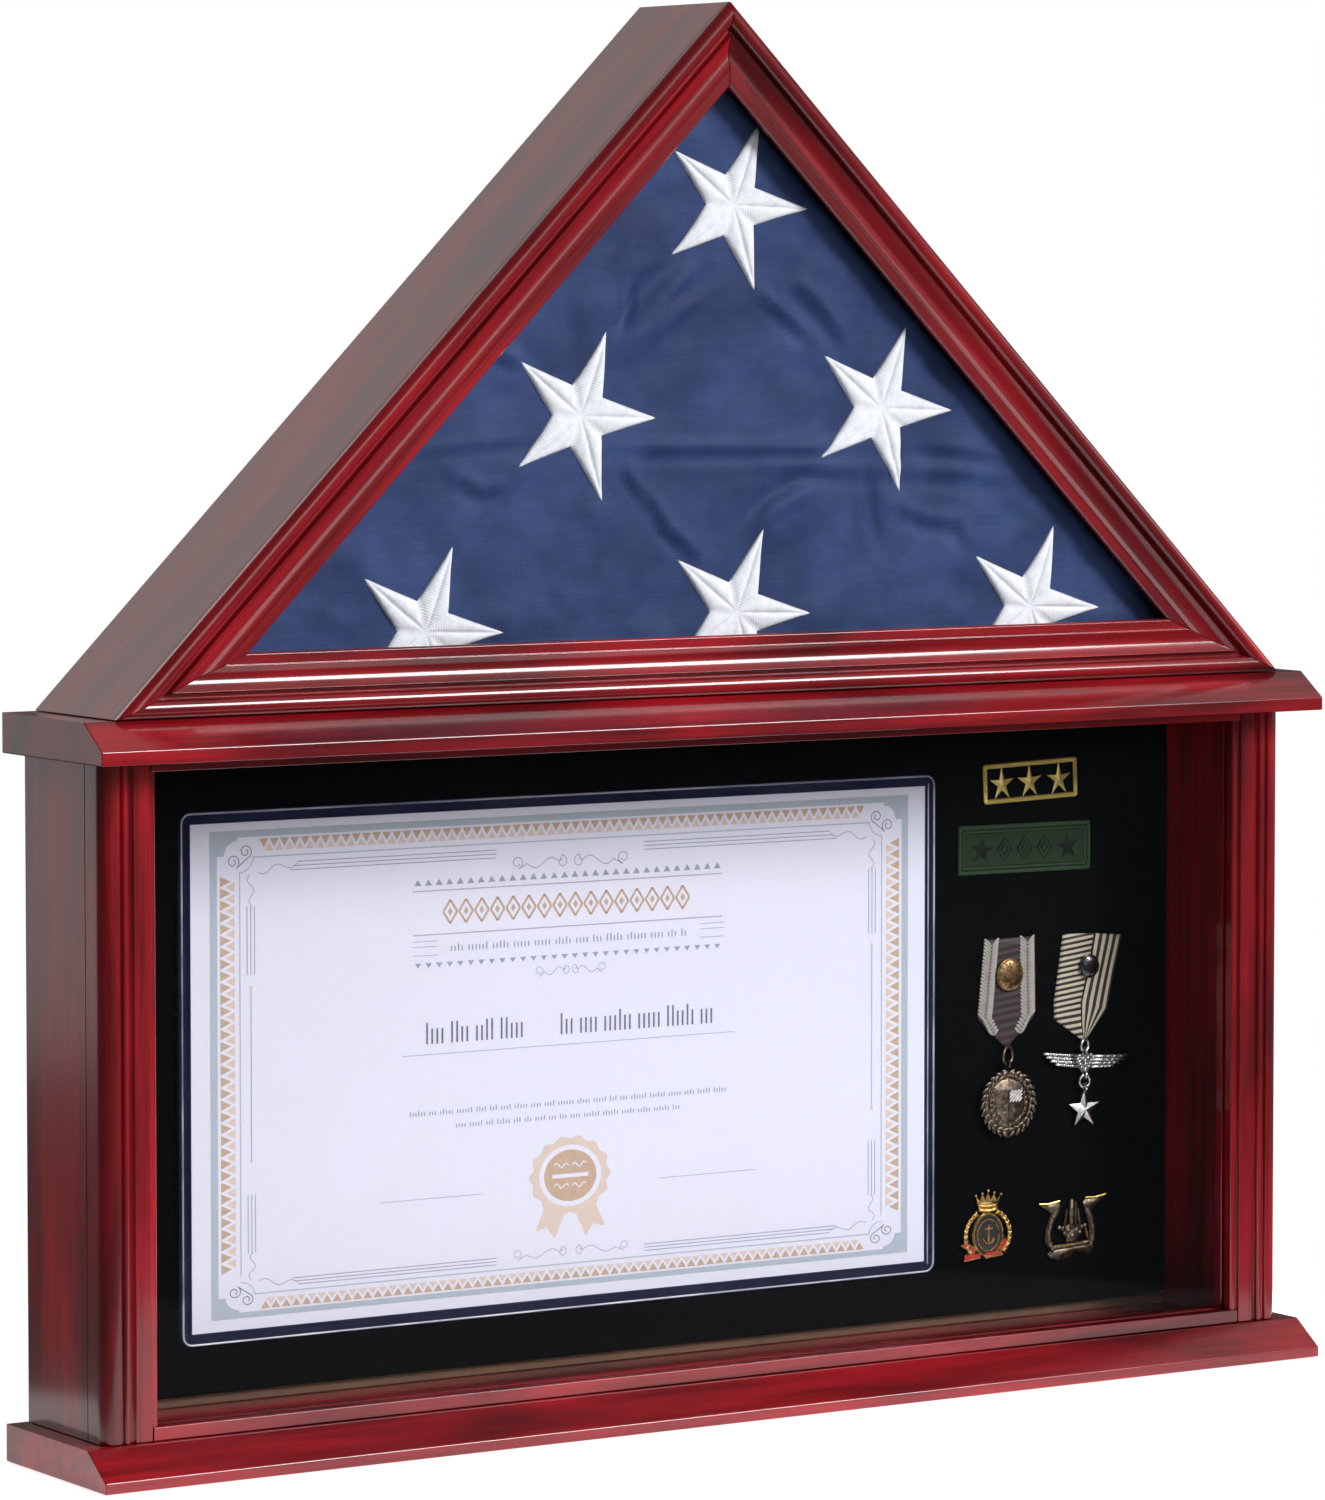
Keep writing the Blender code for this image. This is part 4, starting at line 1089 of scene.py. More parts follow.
def certificate():
    """The printed sheet in its sleeve, with ornaments where the real one has lettering."""
    sheet = Print()
    middle = sheet.middle
    border(sheet)
    left, right = middle - 0.0845, middle + 0.0835
    scrolls(sheet, 0.2530, 0.0335, 0.0062, "pale_grey_ink", 0.0004)
    teeth(sheet, "pale_grey_ink", left, right, 0.2455, 0.0019, 0.0029)
    dots(sheet, "dark_grey_ink", left, right, 0.2430)
    lozenges(sheet, "tan_ink", middle - 0.0688, middle + 0.0656, 0.2330, 0.0108)
    dots(sheet, "dark_grey_ink", left, right, 0.2229)
    for z in (0.2200, 0.2175, 0.2135):
        for points in sheet.both([(left, z), (left + 0.0135, z)]):
            sheet.line("pale_grey_ink", points, 0.0003)
    draw = random.Random(4)
    hatching(sheet, "pale_grey_ink", middle - 0.0640, middle + 0.0640, 0.2148, 0.0034, 0.0019, 0.0007, draw)
    teeth(sheet, "pale_grey_ink", left, right, 0.2100, 0.0017, -0.0023)
    scrolls(sheet, 0.2025, 0.0200, 0.0048, "pale_grey_ink", 0.0003)
    hatching(sheet, "dark_grey_ink", middle - 0.0770, middle - 0.0250, 0.1728, 0.0098, 0.0027, 0.0010, draw)
    hatching(sheet, "dark_grey_ink", middle - 0.0050, middle + 0.0775, 0.1728, 0.0098, 0.0027, 0.0010, draw)
    sheet.line("pale_grey_ink", [(middle - 0.0900, 0.1680), (middle + 0.0900, 0.1680)], 0.0003)
    for z, half in ((0.1400, 0.0860), (0.1335, 0.0615)):
        hatching(sheet, "pale_grey_ink", middle - half, middle + half, z, 0.0024, 0.0015, 0.0006, draw)
    for points in sheet.both([(middle - 0.1020, 0.1018), (middle - 0.0480, 0.1018)]):
        sheet.line("pale_grey_ink", points, 0.0003)
    seal(sheet)
    scrolls(sheet, 0.0715, 0.0340, 0.0050, "pale_grey_ink", 0.0003)
    for name, heap in sheet.inks.items():
        piece = "certificate_print_" + name.replace("_ink", "")
        thicken(heap.finish(piece, name, "paper", BACK_BODY, smooth=None), INK_THICKNESS)
    page = soften(remade("certificate_paper"), 0.0001)
    link(page, "certificate_sheet", "paper", "paper", BACK_BODY, "certificate_paper")
    sleeve()


def sleeve():
    """The clear sleeve, with a bead of painted highlight round its edge and a fine painted highlight line
    down its right side.
    """
    low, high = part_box("certificate_sleeve")
    node = "certificate_sleeve"
    cover = soften(remade(node), 0.0003)
    link(cover, node + "_clear", "clear_plastic", "clear_plastic", BACK_BODY, node)
    # Painted highlight: thin whitish beads where light catches the sleeve's rim.
    edge = Heap()
    inset, bead = 0.0007, 0.00045
    outline = round_box(low.x + inset, high.x - inset, low.z + inset, high.z - inset, 0.0045)
    edge.tube(outline + outline[:1], bead, low.y + bead + 0.0001)
    inset = 0.0042
    edge.tube([(high.x - inset, low.z + inset), (high.x - inset, high.z - inset)], 0.0003, low.y + 0.0003)
    edge.finish("certificate_sleeve_painted_highlight", "sleeve_edge_painted_highlight", "clear_plastic", BACK_BODY)


# Badges and medals

def turned_about(points, x, z, tilt):
    c, s = math.cos(math.radians(tilt)), math.sin(math.radians(tilt))
    return [(x + u * c - v * s, z + u * s + v * c) for u, v in points]


def patch_cloth(node, half, tilt, material, slot, depths):
    """A patch's cloth. Depths are its lift from the CAD front, its thickness and its chamfer."""
    x, z, front = middle_of(node)
    base = Heap()
    outline = round_box(-half[0], half[0], -half[1], half[1], 0.0012)
    base.slab(turned_about(outline, x, z, tilt), front + depths[0], *depths[1:])
    cloth = base.finish(node + "_cloth", material, slot, BACK_BODY, node)


CORD_PITCH = 0.00075


def gold_patch():
    """A black patch with a wide gold cord border and three narrow-armed gold stars."""
    x, z, front = middle_of("gold_patch")
    tilt = 1.9
    half_w, half_h = 0.0278, 0.0096
    patch_cloth("gold_patch", (half_w, half_h), tilt, "felt", "gold_cloth", (0.0006, 0.0006))
    gold = Heap()
    y = front + 0.0006
    inset = 0.0011
    edge_x, edge_z = half_w - inset, half_h - inset
    corners = [(-edge_x, -edge_z), (edge_x, -edge_z), (edge_x, edge_z), (-edge_x, edge_z)]
    for a, b in zip(corners, corners[1:] + corners[:1]):
        for row in (-0.00045, 0.00045):
            wind(gold, turned_about([a, b], x, z, tilt), row, y)
    stars = [(place, -0.0006) for place in (-0.0170, -0.0006, 0.0168)]
    for sx, sz in turned_about(stars, x, z, tilt):
        gold.star(sx, y, sz, 0.0081, 0.0008, 90 + tilt, 0.33, (0.92, 1.04))
    gold.finish("gold_patch_embroidery", "gold_thread", "gold_cloth", BACK_BODY, smooth=30)


def wind(heap, ends, aside, y):
    """A cord made of slanting turns of thread, between two ends."""
    start, run = Vector(ends[0]), Vector(ends[1]) - Vector(ends[0])
    side = Vector((-run.y, run.x)).normalized() * aside
    lean = math.degrees(math.atan2(run.y, run.x))
    count = round(run.length / CORD_PITCH)
    for i in range(count + 1):
        place = start + run * (i / count) + side
        heap.blob(place.x, y, place.y, (0.00100, 0.00065, 0.00042), lean + 62, 1)


def green_patch():
    """A green patch with raised rims, dark lines, two dark stars and three plain lozenges."""
    x, z, front = middle_of("green_patch")
    tilt = -0.3
    half_w, half_h = 0.0392, 0.01195
    depths = (0.0005, 0.0007, 0.0002)
    patch_cloth("green_patch", (half_w, half_h), tilt, "green_cloth", "green_cloth", depths)
    edge, dark = Heap(), Heap()
    rims = ((0.0010, edge, 0.0009), (0.0023, dark, 0.00035), (0.0032, edge, 0.0005), (0.0040, dark, 0.0003))
    for inset, heap, radius in rims:
        outline = round_box(-half_w + inset, half_w - inset, -half_h + inset, half_h - inset, 0.0008, 3)
        heap.tube(turned_about(outline + outline[:1], x, z, tilt), radius, front + 0.0006, 6, 0.6)
    for side in (-1, 1):
        (sx, sz), = turned_about([(side * 0.0254, -0.0003)], x, z, tilt)
        dark.star(sx, front + 0.0006, sz, 0.0069, 0.0006, 90 + 6 * side)
    for place in (-0.0118, 0.0, 0.0118):
        for reach in (1.0, 0.45):
            w, h = 0.0044 * reach, 0.0058 * reach
            diamond = [(-w, 0), (0, h), (w, 0), (0, -h), (-w, 0), (-w / 2, h / 2)]
            outline = [(place + u, v) for u, v in diamond]
            dark.tube(turned_about(outline, x, z, tilt), 0.00055, front + 0.0006, 6, 0.5)
    edge.finish("green_patch_border", "green_edge", "green_cloth", BACK_BODY)
    dark.finish("green_patch_embroidery", "dark_thread", "green_cloth", BACK_BODY)


RIBBON_THICKNESS = 0.0004
BRAID_PITCH = 0.0017


def ribbon_sheet(name, left_edge, right_edge, front, material, slot, *replaced):
    """A ribbon lofted between two edges, a little wavy, with UV across and along it."""
    work = bmesh.new()
    layer = work.loops.layers.uv.new("run")
    columns, rows = 8, len(left_edge)
    top_z = left_edge[0][1]
    grid = []
    for j in range(rows):
        a, b = Vector(left_edge[j]), Vector(right_edge[j])
        row = []
        for i in range(columns + 1):
            u = i / columns
            place = a + (b - a) * u
            v = (top_z - place.y + 0.12 * (place.x - a.x)) / (top_z - right_edge[-1][1])
            curl = 0.00022 * math.sin(math.pi * u) + 0.00008 * math.sin(7 * v + 3 * u)
            row.append((work.verts.new((place.x, front - curl + RIBBON_THICKNESS, place.y)), (u, v)))
        grid.append(row)
    for j in range(rows - 1):
        for i in range(columns):
            add_mapped(work, layer, [grid[j][i], grid[j][i + 1], grid[j + 1][i + 1], grid[j + 1][i]])
    area = sum(face.calc_area() for face in work.faces)
    bmesh.ops.recalc_face_normals(work, faces=work.faces)
    mesh = mesh_of(work, name)
    if mesh.polygons[0].normal.y > 0:
        mesh.flip_normals()
    mesh.shade_smooth()
    ribbon = link(placed(name, mesh), name, material, slot, BACK_BODY, *replaced)
    thicken(ribbon, RIBBON_THICKNESS)
    flat = flat_size(mesh)
    area = min(area, flat[0] * flat[1])


def edge_points(points, count=24):
    """The points of a bent edge, spread evenly down it."""
    lengths = [0.0]
    for a, b in zip(points, points[1:]):
        lengths.append(lengths[-1] + math.dist(a, b))
    made = []
    for i in range(count + 1):
        at = lengths[-1] * i / count
        k = max(j for j in range(len(points) - 1) if lengths[j] <= at + 1e-12)
        t = (at - lengths[k]) / (lengths[k + 1] - lengths[k])
        made.append(tuple(Vector(points[k]).lerp(Vector(points[k + 1]), t)))
    return made


def braid(heap, top, bottom, width, y):
    """Flat strands laid in a herringbone down a ribbon's edge."""
    run = Vector(bottom) - Vector(top)
    count = round(run.length / BRAID_PITCH)
    for i in range(count):
        middle = Vector(top) + run * ((i + 0.5) / count)
        for side in (-1, 1):
            size = (width * 0.34, 0.0006, 0.00095)
            heap.blob(middle.x + side * width * 0.23, y, middle.y, size, side * 44)


def round_medal():
    """A ribbed ribbon with plaited silver edges, its stud, and the medallion below."""
    low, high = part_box("round_medal_ribbon")
    front = low.y
    left, right, top, bottom = low.x, high.x, high.z, low.z
    tip = 0.2042
    shoulder = bottom + 0.0147
    left_edge = [(left + 0.0046, top - 0.0004), (left + 0.0006, shoulder), (tip - 0.0006, bottom)]
    right_edge = [(right - 0.0014, top - 0.0004), (right - 0.0006, shoulder), (tip + 0.0006, bottom)]
    ribbon_sheet("round_medal_ribbon_cloth", edge_points(left_edge), edge_points(right_edge),
                 front, "plum_ribbon", "plum_ribbon", "round_medal_ribbon")
    silver = Heap()
    y = front + 0.0001
    braids = (
        (1, (left + 0.0088, top - 0.0012), (left + 0.0049, shoulder)),
        (-1, (right - 0.0053, top - 0.0008), (right - 0.0047, shoulder)),
    )
    for side, upper, (x, z) in braids:
        braid(silver, upper, (x, z), 0.0094, y)
        braid(silver, (x + side * 0.0006, z), (x + side * 0.0052, z - 0.0076), 0.0066, y)
    silver.finish("round_medal_braid", "silver_thread", "plum_ribbon", BACK_BODY)
    button("round_medal_stud", "old_gold", "brass")
    medallion()
    ring("round_medal_ring", "bronze", 24)


def button(node, material, slot):
    """A domed stud with a rim, a ring of beads and a small star in relief."""
    low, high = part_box(node)
    x, z, _ = middle_of(node)
    radius, depth = (high.x - low.x) / 2, high.y - low.y
    made = Heap()
    made.blob(x, high.y - depth * 0.15, z, (radius * 0.95, depth * 0.72, radius * 0.95), 0, 4)
    made.tube(arc((x, z), radius * 0.92, 0, 375, 25), radius * 0.08, high.y - depth * 0.22)
    made.star(x, low.y + depth * 0.20, z, radius * 0.5, depth * 0.14)
    for angle in range(0, 360, 24):
        bx, bz = point_on((x, z), radius * 0.70, math.radians(angle))
        made.blob(bx, low.y + depth * 0.33, bz, (radius * 0.07,) * 3, detail=1)
    made.finish(node + "_domed", material, slot, BACK_BODY, node, smooth=60)


def ring(node, material, turn=0):
    """A wire ring, remade with a round section and turned on its upright axis."""
    low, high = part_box(node)
    wire = (high.y - low.y) / 2
    bpy.ops.mesh.primitive_torus_add(
        major_radius=(high.x - low.x) / 2 - wire, minor_radius=wire, major_segments=48, minor_segments=12,
        location=(low + high) / 2, rotation=(math.pi / 2, 0, math.radians(turn)),
    )
    obj = bpy.context.object
    obj.scale.y = (high.z - low.z) / (high.x - low.x)
    obj.data.shade_smooth()
    link(obj, node + "_wire", material, material, NODES[node]["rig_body"], node)


EYE_RADIUS = 0.0018
EYE_WIRE = 0.0006


def eye(heap, x, y, z):
    """An upright loop, seen edge on."""
    rings = []
    for py, pz in arc((y, z), EYE_RADIUS, 0, 342, 19):
        out = Vector((0, py - y, pz - z)).normalized()
        ring = []
        for k in range(6):
            outward = out * EYE_WIRE * math.cos(k * math.pi / 3)
            aside = Vector((EYE_WIRE * math.sin(k * math.pi / 3), 0, 0))
            ring.append(heap.work.verts.new(Vector((x, py, pz)) + outward + aside))
        rings.append(ring)
    heap.skin(rings + rings[:1])


def medallion():
    """A bronze wreath round a quartered shield."""
    low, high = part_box("round_medal_medallion")
    x = (low.x + high.x) / 2
    radius = (high.x - low.x) / 2
    z = low.z + radius
    y = (low.y + high.y) / 2
    thick = 0.0030
    made = Heap()
    made.slab(arc((x, z), radius * 0.86, 0, 352.5, 47), y - thick * 0.2, thick * 0.5, 0.0002)
    for i in range(26):
        angle = 360 * i / 26 - 90 + 360 / 52
        side = 1 if math.cos(math.radians(angle)) > 0 else -1
        for reach, lean in ((0.90, 32), (0.76, -18)):
            lx, lz = point_on((x, z), radius * reach, math.radians(angle))
            size = (radius * 0.145, thick * 0.22, radius * 0.062)
            made.blob(lx, y - thick * 0.30, lz, size, angle + 90 * side + lean * side)
    for angle in (60, 80, 100, 120):
        bx, bz = point_on((x, z), radius * 0.84, math.radians(angle))
        made.blob(bx, y - thick * 0.36, bz, (radius * 0.10, thick * 0.26, radius * 0.10))
    for start, end in ((-62, 38), (242, 142)):
        leaf_row(made, (x, z), radius * 0.60, radius * 0.60, start, end, 8, radius * 0.10, y - thick * 0.28)
    shield_top, shield_half = z + radius * 0.38, radius * 0.46
    side = ((1, 0.38), (1, -0.05), (0.6, -0.42))
    shield = [(x - shield_half * u, z + radius * v) for u, v in side]
    shield.append((x, z - radius * 0.62))
    shield += [(x + shield_half * u, z + radius * v) for u, v in reversed(side)]
    made.slab(shield, y - thick * 0.34, thick * 0.3, 0.0002)
    made.tube([(x, shield_top), (x, z - radius * 0.6)], radius * 0.025, y - thick * 0.36, 6)
    made.tube([(x - shield_half, z), (x + shield_half, z)], radius * 0.025, y - thick * 0.36, 6)
    made.star(x - shield_half * 0.5, y - thick * 0.33, z + radius * 0.2, radius * 0.15, 0.0004)
    made.star(x + shield_half * 0.45, y - thick * 0.33, z - radius * 0.2, radius * 0.14, 0.0004)
    size = (radius * 0.06, 0.0003, radius * 0.06)
    for dx, dz in ((-0.3, -0.16), (-0.15, -0.30), (-0.36, -0.30)):
        made.blob(x + dx * radius, y - thick * 0.36, z + dz * radius, size, detail=1)
    eye(made, x, y, z + radius + 0.0018)
    body = "round_medal_drop"
    made.finish("round_medal_wreath", "bronze", "bronze", body, "round_medal_medallion", smooth=50)
    bright = Heap()
    quarter_left, quarter_right = x + radius * 0.03, x + shield_half * 0.96
    quarter_low, quarter_high = z + radius * 0.04, shield_top - radius * 0.02
    for i in range(-3, 5):
        low_x = quarter_left + radius * 0.105 * i
        start_up = max(0.0, quarter_left - low_x)
        end_up = min(quarter_right - low_x, quarter_high - quarter_low)
        if end_up - start_up > radius * 0.05:
            bar = [(low_x + up, quarter_low + up) for up in (start_up, end_up)]
            bright.tube(bar, radius * 0.030, y - thick * 0.40, 6)
    bright.finish("round_medal_shield_bars", "white_enamel", "silver", body)


def winged_medal():
    """A ribbon of cross stripes with a fold of long stripes, and wings and a star below."""
    low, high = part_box("winged_medal_ribbon")
    front = low.y
    left, right, bottom, top = low.x, high.x, low.z, high.z
    tip = 0.2503
    seam = [(0.2575, top - 0.0008), (0.2545, top - 0.0160), (0.2495, top - 0.0340),
            (0.2500, top - 0.0440), (tip + 0.0010, bottom)]
    outer = [(left + 0.0052, top - 0.0002), (left + 0.0002, 0.1700), (left + 0.0004, 0.1618),
             (tip - 0.0006, bottom)]
    inner = [(right - 0.0002, top - 0.0024), (right - 0.0050, top - 0.0200), (0.2644, 0.1650),
             (tip + 0.0022, bottom + 0.0008)]
    folded_seam = [(x - 0.0008, z) for x, z in seam]
    ribbon_sheet("winged_medal_ribbon_cloth", edge_points(outer), edge_points(seam),
                 front + 0.0001, "cross_stripes", "striped_ribbon", "winged_medal_ribbon")
    ribbon_sheet("winged_medal_ribbon_fold", edge_points(folded_seam), edge_points(inner),
                 front - 0.0001, "long_stripes", "striped_ribbon")
    button("winged_medal_stud", "gunmetal", "silver")
    ring("winged_medal_ring", "silver", 20)
    ring("winged_medal_lower_ring", "silver")
    wings()
    hanging_star()


FEATHERS = (0.0250, 0.0232, 0.0205, 0.0172)
FEATHER_ROOT = 0.0040
FEATHER_PITCH = 0.00172
SCALES = ((0.0034, 3), (0.0046, 4), (0.0036, 3), (0.0028, 3), (0.0020, 2), (0.0012, 1))  # half row, count
WINGS_TILT = -4.5


def feather_points(side, reach, level, shares):
    """Places along a feather, from its root at 0 to its tip at 1."""
    return [(side * (FEATHER_ROOT + (reach - FEATHER_ROOT) * t), level + 0.0007 * t * t) for t in shares]


def wings():
    """Plain spread wings in four rows of feathers, on a body of small scales."""
    low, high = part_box("winged_medal_wings")
    ring_low, ring_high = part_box("winged_medal_ring")
    x, y, z = (ring_low.x + ring_high.x) / 2, (low.y + high.y) / 2, 0.1405
    made = Heap()
    for side in (-1, 1):
        for row, reach in enumerate(FEATHERS):
            level = 0.0026 - FEATHER_PITCH * row
            run = feather_points(side, reach, level, (0, 0.3, 0.6, 0.85, 1))
            made.tube(turned_about(run, x, z, WINGS_TILT), 0.00078, y - 0.0002, 8, 0.9)
            barbs = feather_points(side, reach, level, (0.28, 0.46, 0.64, 0.82))
            for bx, bz in turned_about(barbs, x, z, WINGS_TILT):
                made.blob(bx, y - 0.0007, bz, (0.00115, 0.00055, 0.00060), WINGS_TILT + 24 * side)
    for row, (half, count) in enumerate(SCALES):
        for i in range(count):
            across = half * (2 * i / (count - 1) - 1) if count > 1 else 0
            made.blob(x + across, y - 0.0004, z + 0.0030 - 0.0014 * row, (0.00105, 0.0008, 0.00085))
    breast = [(-4.0, 3.4), (-4.8, 0.4), (-2.2, -5.0), (2.2, -5.0), (4.8, 0.4), (4.0, 3.4)]
    made.slab(millimetres(breast, x, z), y, 0.0009)
    eye(made, x, y, z + 0.0048)
    eye(made, x, y, z - 0.0068)
    body = "winged_medal_drop"
    made.finish("winged_medal_feathers", "silver", "silver", body, "winged_medal_wings", smooth=60)


def hanging_star():
    low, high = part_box("winged_medal_star")
    x, y = (low.x + high.x) / 2, (low.y + high.y) / 2
    reach = (high.x - low.x) / 2 / math.cos(math.radians(18))
    z = low.z + reach * math.cos(math.radians(36))
    made = Heap()
    made.star(x, y + 0.0008, z, reach, 0.0022, 90, 0.40)
    eye(made, x, y, high.z - 0.0024)
    made.tube([(x, z + reach * 0.82), (x, high.z - 0.0044)], 0.0006, y, 6)
    made.finish("winged_medal_star_cut", "silver", "silver", "star_drop", "winged_medal_star", smooth=20)


def leaf_row(heap, centre, reach_x, reach_z, start, end, count, size, y):
    """Leaves in pairs along an arc."""
    for i in range(count):
        angle = start + (end - start) * i / (count - 1)
        a = math.radians(angle)
        x, z = centre[0] + reach_x * math.cos(a), centre[1] + reach_z * math.sin(a)
        lean = 90 if end > start else -90
        for spread in (-38, 38):
            heap.blob(x, y, z, (size, size * 0.30, size * 0.42), angle + lean + spread)


def millimetres(points, x, z):
    """Points given in millimetres from a middle, as x and z in metres."""
    return [(x + u / 1000, z + v / 1000) for u, v in points]


def coronet_pin():
    """A gold crown over a dark oval, laurel at its sides and a red ribbon below."""
    x, z, front = middle_of("coronet_pin")
    oval_x, oval_z = x + 0.0014, z - 0.0043
    gold = Heap()
    gold.slab(oval(oval_x, oval_z, 0.0092, 0.0110, 40), front + 0.0009, 0.0009, 0.0002)
    for share, wire in ((0.97, 0.0005), (0.72, 0.00035)):
        loop = oval(oval_x, oval_z, 0.0088 * share, 0.0106 * share, 40)
        gold.tube(loop + loop[:2], wire, front + 0.0007, 6)
    leaf_row(gold, (oval_x, oval_z), 0.0128, 0.0120, -40, 62, 9, 0.0021, front + 0.0008)
    leaf_row(gold, (oval_x, oval_z), 0.0132, 0.0122, 220, 124, 9, 0.0021, front + 0.0008)
    crown = [(-5.2, 7.2), (-6.3, 11.6), (-7.3, 15.4), (-4.9, 12.8), (-3.4, 16.2), (-1.6, 13.2), (0, 16.8),
             (1.6, 13.2), (3.6, 16.2), (5.0, 12.8), (7.6, 15.2), (6.4, 11.4), (5.4, 7.4), (0, 8.4)]
    gold.slab(millimetres(crown, x + 0.0012, z), front + 0.0005, 0.0012, 0.0004)
    beads = [(-7.3, 15.2), (-3.4, 16.0), (0, 17.2), (3.6, 16.0), (7.6, 15.0)]
    for bx, bz in millimetres(beads, x + 0.0012, z):
        gold.blob(bx, front + 0.0007, bz, (0.0009, 0.0008, 0.0009))
    for level, reach, wire in ((8.0, 5.4, 0.0010), (10.2, 5.9, 0.0005)):
        band = [(reach * t, level + 0.9 * t * t - 0.5) for t in (-1, -0.6, -0.2, 0.2, 0.6, 1)]
        gold.tube(millimetres(band, x + 0.0012, z), wire, front + 0.0006, 8, 0.8)
    shank, stock = [(0, 5.0), (0, -4.0)], [(-2.4, 3.2), (2.4, 3.2)]
    gold.tube(millimetres(shank, oval_x, oval_z), 0.00055, front + 0.0005, 6)
    gold.tube(millimetres(stock, oval_x, oval_z), 0.00045, front + 0.0005, 6)
    gold.tube(arc((oval_x, oval_z - 0.0006), 0.0034, 200, 340, 10), 0.00055, front + 0.0005, 6)
    red = Heap()
    ends = (
        ((-14.6, -8.4), (-11.6, -6.8), (-6.0, -10.6), (-7.0, -12.6)),
        ((-12.4, -13.0), (-3.6, -12.6), (-3.2, -15.0), (-12.8, -16.0)),
        ((-0.6, -12.6), (9.2, -11.6), (9.8, -14.4), (-0.4, -15.4)),
        ((4.8, -12.2), (11.4, -6.0), (12.8, -8.6), (7.0, -13.6)),
    )
    for end in ends:
        outline = millimetres(end, x, z)
        red.slab(outline, front + 0.0004, 0.0012, 0.0002)
        gold.tube(outline + outline[:2], 0.00035, front + 0.0006, 6)
    gold.finish("coronet_pin_gilt", "brass", "brass", BACK_BODY, "coronet_pin", smooth=50)
    red.finish("coronet_pin_ribbon", "red_enamel", "brass", BACK_BODY)
    dark = Heap()
    dark.slab(oval(oval_x, oval_z, 0.0084, 0.0102, 40), front + 0.0007, 0.0004)
    dark.finish("coronet_pin_oval", "dark_enamel", "brass", BACK_BODY)


def lyre_pin():
    """A dark bronze lyre: two wings with painted highlight lines of brass along their upper edges, leafy
    arms, a post and a barred foot, with more painted highlight along the bar and beside the right arm.
    """
    x, z, front = middle_of("lyre_pin")
    y = front + 0.0009
    # bright gathers painted highlights: brass lines where light catches the wings' upper edges, the bar's
    # top and beside the right arm.
    made, bright = Heap(), Heap()
    blades = (
        ((-20.0, 13.2), (-13.6, 12.6), (-8.0, 13.6), (-6.4, 11.4), (-8.6, 6.6), (-11.4, 7.0), (-14.6, 9.4)),
        ((6.2, 12.6), (8.4, 14.4), (13.6, 13.8), (20.0, 15.0), (14.8, 10.8), (11.4, 8.0), (8.2, 7.0)),
    )
    edges = (((-20.2, 13.4), (-14.6, 13.0), (-8.0, 14.0)), ((7.6, 14.6), (13.4, 14.4), (20.0, 15.4)))
    arms = (
        ((-9.6, 9.0), (-12.6, 4.6), (-14.4, -0.6), (-14.2, -6.0), (-11.4, -9.8)),
        ((8.8, 9.0), (11.0, 4.6), (12.2, -0.6), (12.0, -6.0), (10.6, -9.4)),
    )
    for blade, edge, arm, side in zip(blades, edges, arms, (-1, 1)):
        made.slab(millimetres(blade, x, z), front + 0.0008, 0.0009, 0.0003)
        bright.tube(edge_points(millimetres(edge, x, z), 10), 0.0006, front + 0.0006, 8)
        route = edge_points(millimetres(arm, x, z), 24)
        made.tube(route, 0.0017, y, 8, 0.5)
        for i in range(1, 24, 2):
            run = Vector(route[min(i + 1, 24)]) - Vector(route[i - 1])
            lean = math.degrees(math.atan2(run.y, run.x))
            for spread in (-35, 35):
                made.blob(route[i][0], y - 0.0005, route[i][1], (0.0021, 0.0006, 0.0008), lean + spread)
        made.tube(millimetres([(side * 3.2, 9.6), (side * 4.6, 1.2)], x, z), 0.0006, y, 6)
        berries = [(side * u, v) for u, v in ((5.6, 0.4), (7.6, 0.8), (4.4, -2.2))]
        for bx, bz in millimetres(berries, x, z):
            made.blob(bx, y, bz, (0.0015, 0.0008, 0.0013), 20 * side)
    made.tube(millimetres([(-0.4, 14.0), (-0.4, 0.0)], x, z), 0.0016, y, 8, 0.6)
    made.tube(millimetres([(1.8, 13.2), (1.8, 1.0)], x, z), 0.0006, y - 0.0003, 6)
    body = [(-4.6, -2.0), (-4.0, 1.6), (0, 2.8), (4.0, 1.6), (4.6, -2.0), (3.4, -6.6), (-3.4, -6.6)]
    made.slab(millimetres(body, x, z), front + 0.0006, 0.0011, 0.0004)
    for bx, bz in millimetres([(-2.4, -1.0), (2.4, -1.0), (0, -3.6), (0, 1.0)], x, z):
        made.blob(bx, front + 0.0006, bz, (0.0014, 0.0005, 0.0012))
    bar = millimetres([(-12.2, -8.8), (-2, -8.4), (11.6, -7.4)], x, z)
    made.tube(edge_points(bar, 8), 0.0013, y, 8, 0.6)
    foot = [(-15.2, -11.4), (-12.2, -9.2), (0, -8.8), (11.4, -8.0), (13.4, -10.0), (9.6, -13.8),
            (4.6, -12.2), (1.8, -10.8), (-1.8, -14.2), (-8.2, -15.2), (-12.6, -14.2)]
    made.slab(millimetres(foot, x, z), front + 0.0007, 0.0010, 0.0004)
    painted_shine = millimetres([(-10.4, -8.4), (0, -7.6), (6.4, -7.2)], x, z)
    bright.tube(edge_points(painted_shine, 8), 0.0004, front + 0.0003, 6)
    bright.tube(millimetres([(8.0, -0.6), (9.0, -5.2)], x, z), 0.0006, front + 0.0006, 6)
    made.finish("lyre_pin_cast", "bronze", "bronze", BACK_BODY, "lyre_pin", smooth=50)
    bright.finish("lyre_pin_painted_highlights", "brass", "bronze", BACK_BODY)


def decorations():
    gold_patch()
    green_patch()
    round_medal()
    winged_medal()
    coronet_pin()
    lyre_pin()


# Floor, light and camera

